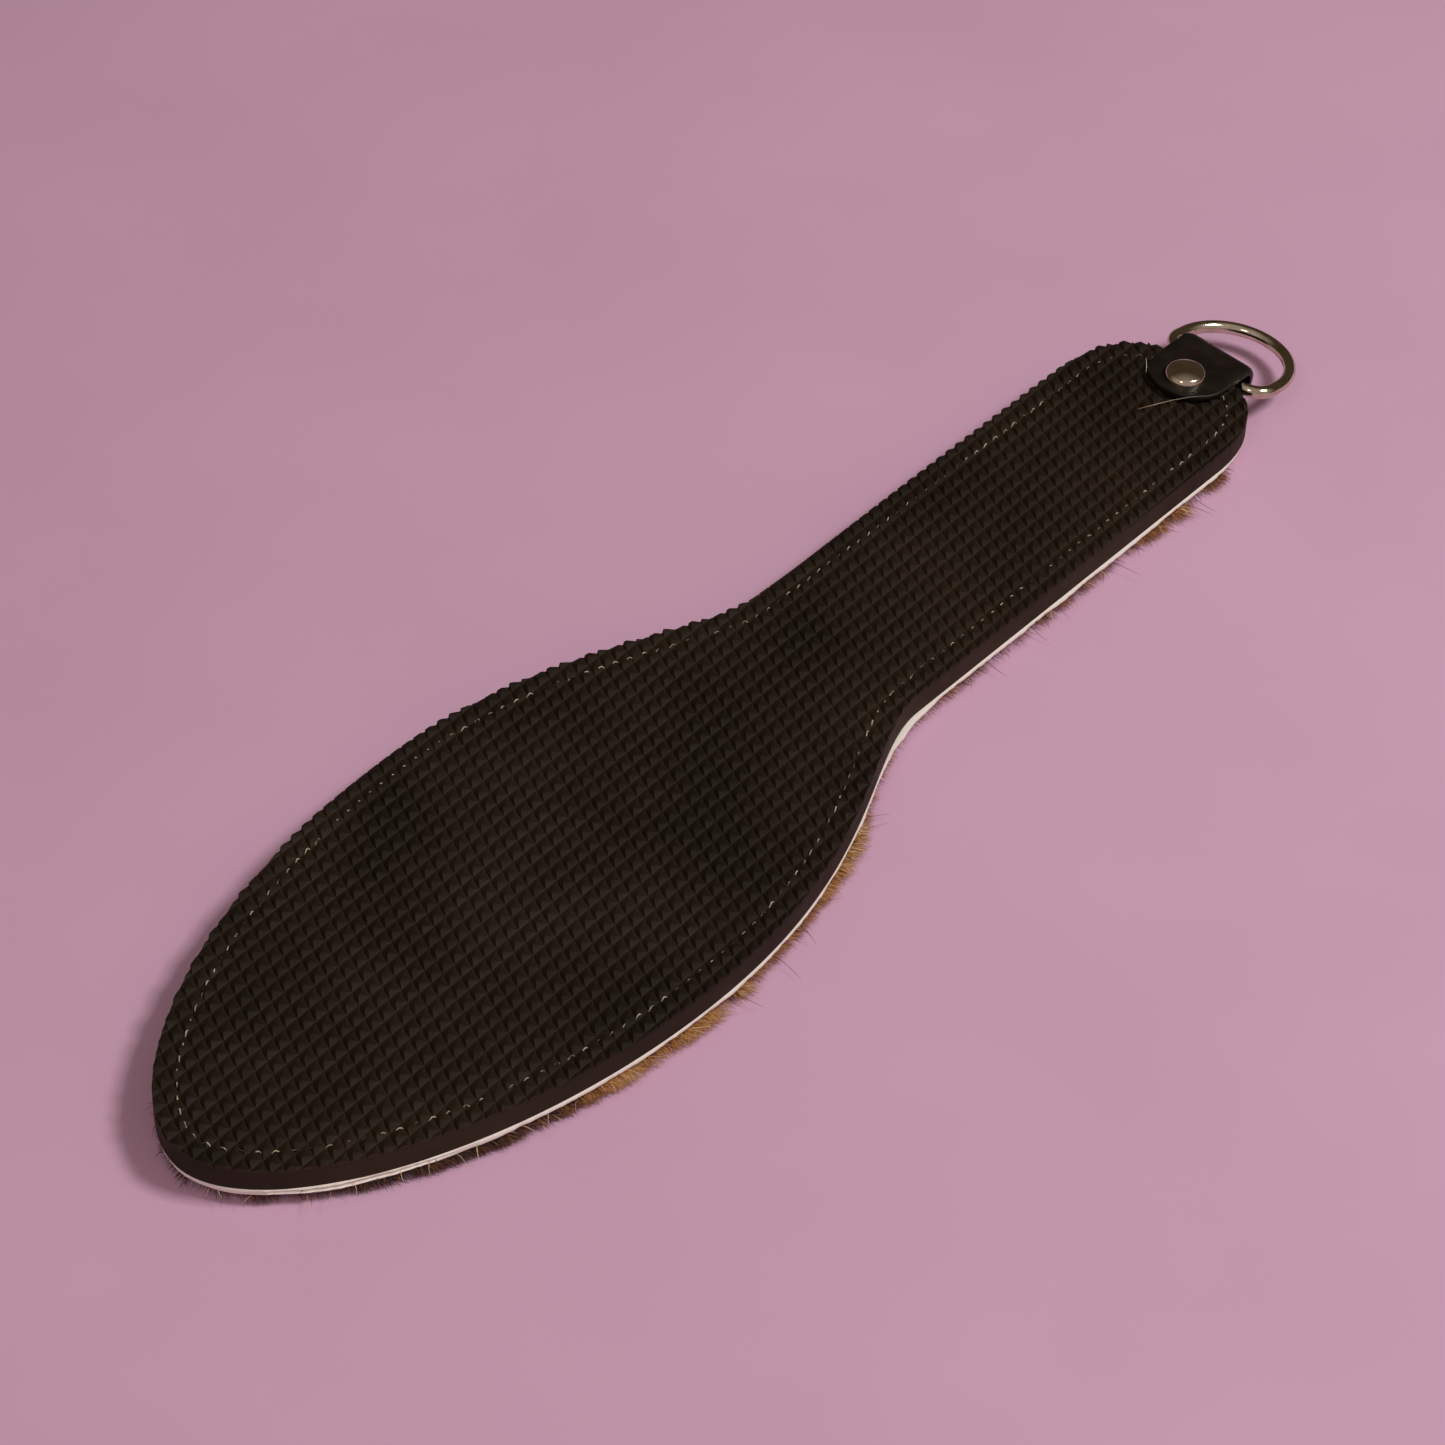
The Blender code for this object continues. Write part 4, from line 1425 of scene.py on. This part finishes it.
    def press(self, points: np.ndarray) -> None:
        """Presses the rivet's dimple, and bows the strip a little across its width.

        Args:
            points: The strip's vertices, changed in place.
        """
        upper = points[:, 2] > 9.4
        x = points[:, 0] - self.tip_x
        y = points[:, 1] - self.centre_y
        away = np.hypot(x - self.rivet_at, y)
        dent = -self.dimple * np.exp(-(away / 6.0) ** 2) + 0.10 * np.exp(-((away - 8.2) / 1.6) ** 2)
        bow = -0.16 * (y / (self.width / 2)) ** 4
        bow += wavering(points[:, :2], 9.0, 0.06, 8.0)
        points[:, 2] += np.where(upper & (x < self.fold_at - 1.0), dent + bow, 0.0)


@dataclass
class Rivet:
    """A nickel double-cap rivet: a domed cap on the tab and a flat foot under the hide."""

    finish: Finish = field(default_factory=PolishedNickel)
    at: tuple[float, float] = (151.75, -1.7)
    cap_radius: float = 5.1
    seat_z: float = 12.75
    crown_z: float = 15.55
    # The cap has a low crown over its middle, then a round shoulder down to its rolled rim.
    rim: float = 0.35
    crown_rise: float = 1.25
    flat_share: float = 0.84
    foot_radius: float = 4.5
    foot_z: float = 1.3
    foot_low_z: float = 0.42
    tube_radius: float = 2.0
    tube_end_z: float = 6.9
    segments: int = 72

    def turned(self, name: str, profile: list[tuple[float, float]], replaced: str) -> bpy.types.Object:
        """Turns a profile about the rivet's axis.

        Args:
            name: The piece's name.
            profile: Radius and height, starting and ending on the axis.
            replaced: The CAD node that it stands for.

        Returns:
            The turned piece.
        """
        inner = np.array(profile[1:-1])
        angles = np.linspace(0.0, 2 * math.pi, self.segments, endpoint=False)
        rings = [np.column_stack([r * np.cos(angles), r * np.sin(angles), np.full(self.segments, z)])
                 for r, z in inner]
        points = np.vstack(rings + [[(0.0, 0.0, profile[0][1])], [(0.0, 0.0, profile[-1][1])]])
        points[:, :2] += self.at
        faces = loops_to_faces(len(rings), self.segments, closed_along=False)
        pole = len(points) - 2
        foot = (len(rings) - 1) * self.segments
        for j in range(self.segments):
            k = (j + 1) % self.segments
            faces += [(pole, j, k), (pole + 1, foot + k, foot + j)]
        piece = make_piece(name, points, faces, self.finish, crease=40.0)
        return hang(piece, Body.BRUSH, Slot.NICKEL, replaced)

    def build(self) -> list[bpy.types.Object]:
        """Builds the cap with its tube, and the foot with its post.

        Returns:
            Both pieces.
        """
        shares = np.sin(np.linspace(0.0, math.pi / 2, 22))
        low = self.seat_z + self.rim
        shoulder = self.crown_z - low - self.crown_rise
        crown = []
        for s in shares:
            turned = max(0.0, (s - self.flat_share) / (1.0 - self.flat_share))
            height = low + shoulder * (1.0 - turned ** 2) ** 0.5 + self.crown_rise * (1.0 - s * s)
            crown.append((self.cap_radius * s, height))
        rolled = [(self.cap_radius - 0.02, self.seat_z + 0.18), (self.cap_radius - 0.14, self.seat_z + 0.04),
                  (self.cap_radius - self.rim, self.seat_z)]
        tube = [(self.tube_radius, self.seat_z), (self.tube_radius, self.tube_end_z),
                (self.tube_radius - 0.6, self.tube_end_z), (self.tube_radius - 0.6, self.seat_z),
                (0.0, self.seat_z)]
        cap_piece = self.turned("rivet_cap_dome", crown + rolled + tube, "rivet_cap")
        thick = self.foot_z - self.foot_low_z
        flat = [(self.foot_radius * s, self.foot_low_z + thick * 0.65 * s ** 3.0) for s in shares[::-1]]
        post = [(0.0, self.seat_z - 0.6), (1.0, self.seat_z - 0.6), (1.1, self.seat_z - 0.8),
                (1.1, self.foot_z), (self.foot_radius - 0.25, self.foot_z),
                (self.foot_radius - 0.03, self.foot_z - 0.12)]
        foot_piece = self.turned("rivet_foot", post + flat, "rivet_post")
        return [cap_piece, foot_piece]


@dataclass
class DRing:
    """A welded D-ring of round wire, its bar lying in the tab's fold."""

    finish: Finish = field(default_factory=PolishedNickel)
    wire_radius: float = 1.6
    arc_radius: float = 15.0
    arm: float = 7.0
    corner_radius: float = 5.0
    bar_at: tuple[float, float, float] = (162.05, -2.4, 9.4)
    droop: float = 8.0
    skew: float = -4.5
    sides: int = 28
    step: float = 0.55

    def build(self) -> bpy.types.Object:
        """Sweeps the wire round the D.

        Returns:
            The ring.
        """
        half = self.arc_radius
        corner = self.corner_radius
        flat = np.vstack([
            arc((self.arm, 0.0), half, -90.0, 90.0, 96),
            arc((corner, half - corner), corner, 90.0, 180.0, 20),
            [(0.0, (half - corner) * t) for t in (0.75, 0.5, 0.25, 0.0, -0.25, -0.5, -0.75)],
            arc((corner, corner - half), corner, 180.0, 270.0, 20),
        ])
        path = even_steps(np.column_stack([flat, np.zeros(len(flat))]), self.step)
        angles = np.linspace(0.0, 2 * math.pi, self.sides, endpoint=False)
        section = np.column_stack([np.cos(angles), np.sin(angles)]) * self.wire_radius
        points, faces = sweep(path, section)
        turn = np.array(Euler((0.0, math.radians(self.droop), math.radians(self.skew))).to_matrix())
        points = points @ turn.T + np.array(self.bar_at)
        ring = make_piece("d_ring_wire", points, faces, self.finish)
        return hang(ring, Body.RING, Slot.NICKEL, "d_ring")


# ---------------------------------------------------------------- studio

@dataclass
class Studio:
    """Plain pale floor, soft light and the camera."""

    finish: Finish = field(default_factory=MattPaper)
    floor_half: float = 3.0
    lens: float = 109.62
    eye: tuple[float, float, float] = (-0.56415, -0.4549, 0.6811)
    gaze: tuple[float, float, float] = (0.5603, 0.4665, -0.6844)
    right: tuple[float, float, float] = (0.6561, -0.7543, 0.0230)
    # Each softbox: name, place in metres, width and height in metres, power in watts.
    softboxes: tuple[tuple[str, tuple[float, float, float], float, float, float], ...] = (
        ("key", (0.427, -0.838, 1.294), 0.42, 0.38, 13.65),
        ("glint", (-0.913, -0.246, 1.18), 0.26, 0.24, 1.5),
    )
    lamp_tone: str = "#FFFCF7"
    near_sky: str = "#CFBEB3"
    far_sky: str = "#55493A"
    sky_strength: float = 0.62
    # The way to the room's pale side, and how far towards it the dim part ends and the pale part begins.
    pale_side: tuple[float, float, float] = (-0.55, -0.45, 0.55)
    pale_from: float = 0.10
    pale_full: float = 0.62
    backdrop: str = "#B998A4"

    def lay_floor(self) -> None:
        """Lays the floor at the height that the brush lies on."""
        form = bmesh.new()
        bmesh.ops.create_grid(form, x_segments=8, y_segments=8, size=self.floor_half)
        mesh = bpy.data.meshes.new("studio_floor")
        form.to_mesh(mesh)
        form.free()
        mesh.materials.append(self.finish.material())
        floor = bpy.data.objects.new("studio_floor", mesh)
        bpy.context.scene.collection.objects.link(floor)

    def light(self) -> None:
        """Hangs the softboxes and sets the room round them: pale on the near side, dim beyond."""
        for name, place, width, height, power in self.softboxes:
            lamp = bpy.data.lights.new(name, "AREA")
            lamp.shape = "RECTANGLE"
            lamp.size = width
            lamp.size_y = height
            lamp.energy = power
            lamp.color = linear(self.lamp_tone)[:3]
            box = bpy.data.objects.new(name, lamp)
            box.location = place
            box.rotation_euler = (-Vector(place)).to_track_quat("-Z", "Y").to_euler()
            bpy.context.scene.collection.objects.link(box)
        world = bpy.data.worlds.new("studio_air")
        world.use_nodes = True
        tree = world.node_tree
        background = tree.nodes["Background"]
        # The room is pale behind and above the near side, and dim beyond the far side.
        heading = add_node(tree, "ShaderNodeTexCoord").outputs["Generated"]
        facing = add_node(tree, "ShaderNodeVectorMath", {0: heading, 1: self.pale_side},
                          operation="DOT_PRODUCT")
        sky = add_node(tree, "ShaderNodeValToRGB", {"Fac": facing.outputs["Value"]},
                       stops=[(self.pale_from, self.far_sky), (self.pale_full, self.near_sky)])
        # Seen directly, past the floor's edge, the room is the floor's own dim pink.
        seen = add_node(tree, "ShaderNodeLightPath").outputs["Is Camera Ray"]
        air = add_node(tree, "ShaderNodeMix",
                       {"Factor": seen, "A": sky.outputs["Color"], "B": linear(self.backdrop)},
                       data_type="RGBA")
        tree.links.new(air.outputs["Result"], background.inputs["Color"])
        background.inputs["Strength"].default_value = self.sky_strength
        bpy.context.scene.world = world
        bpy.context.scene.view_settings.view_transform = "Standard"

    def set_camera(self) -> None:
        """Puts the camera where the brush is seen from above its near side."""
        back = -Vector(self.gaze).normalized()
        right = Vector(self.right).normalized()
        up = back.cross(right).normalized()
        right = up.cross(back)
        turn = Matrix((right, up, back)).transposed().to_4x4()
        lens = bpy.data.cameras.new("camera")
        lens.lens = self.lens
        lens.sensor_width = 36.0
        lens.clip_start = 0.01
        lens.clip_end = 20.0
        camera = bpy.data.objects.new("camera", lens)
        camera.matrix_world = Matrix.Translation(Vector(self.eye)) @ turn
        bpy.context.scene.collection.objects.link(camera)
        bpy.context.scene.camera = camera

    def build(self) -> None:
        """Sets up the studio."""
        self.lay_floor()
        self.light()
        self.set_camera()


def main() -> None:
    """Builds the brush and its studio, in the order in which it is made up."""
    logging.basicConfig(level=logging.INFO, format="%(message)s")
    Studio().build()
    plan = PaddlePlan()
    StuddedPad(plan).build()
    HideLayer(plan).build()
    SeamThread(plan, "needle_thread_stitches", "needle_thread", radius=0.19, crown_z=10.86, hole_z=9.3).build()
    SeamThread(plan, "bobbin_thread_stitches", "bobbin_thread", radius=0.26, crown_z=3.5, hole_z=4.3).build()
    HairPile(plan).build()
    HangingTab().build()
    Rivet().build()
    DRing().build()


if __name__ == "__main__":
    main()
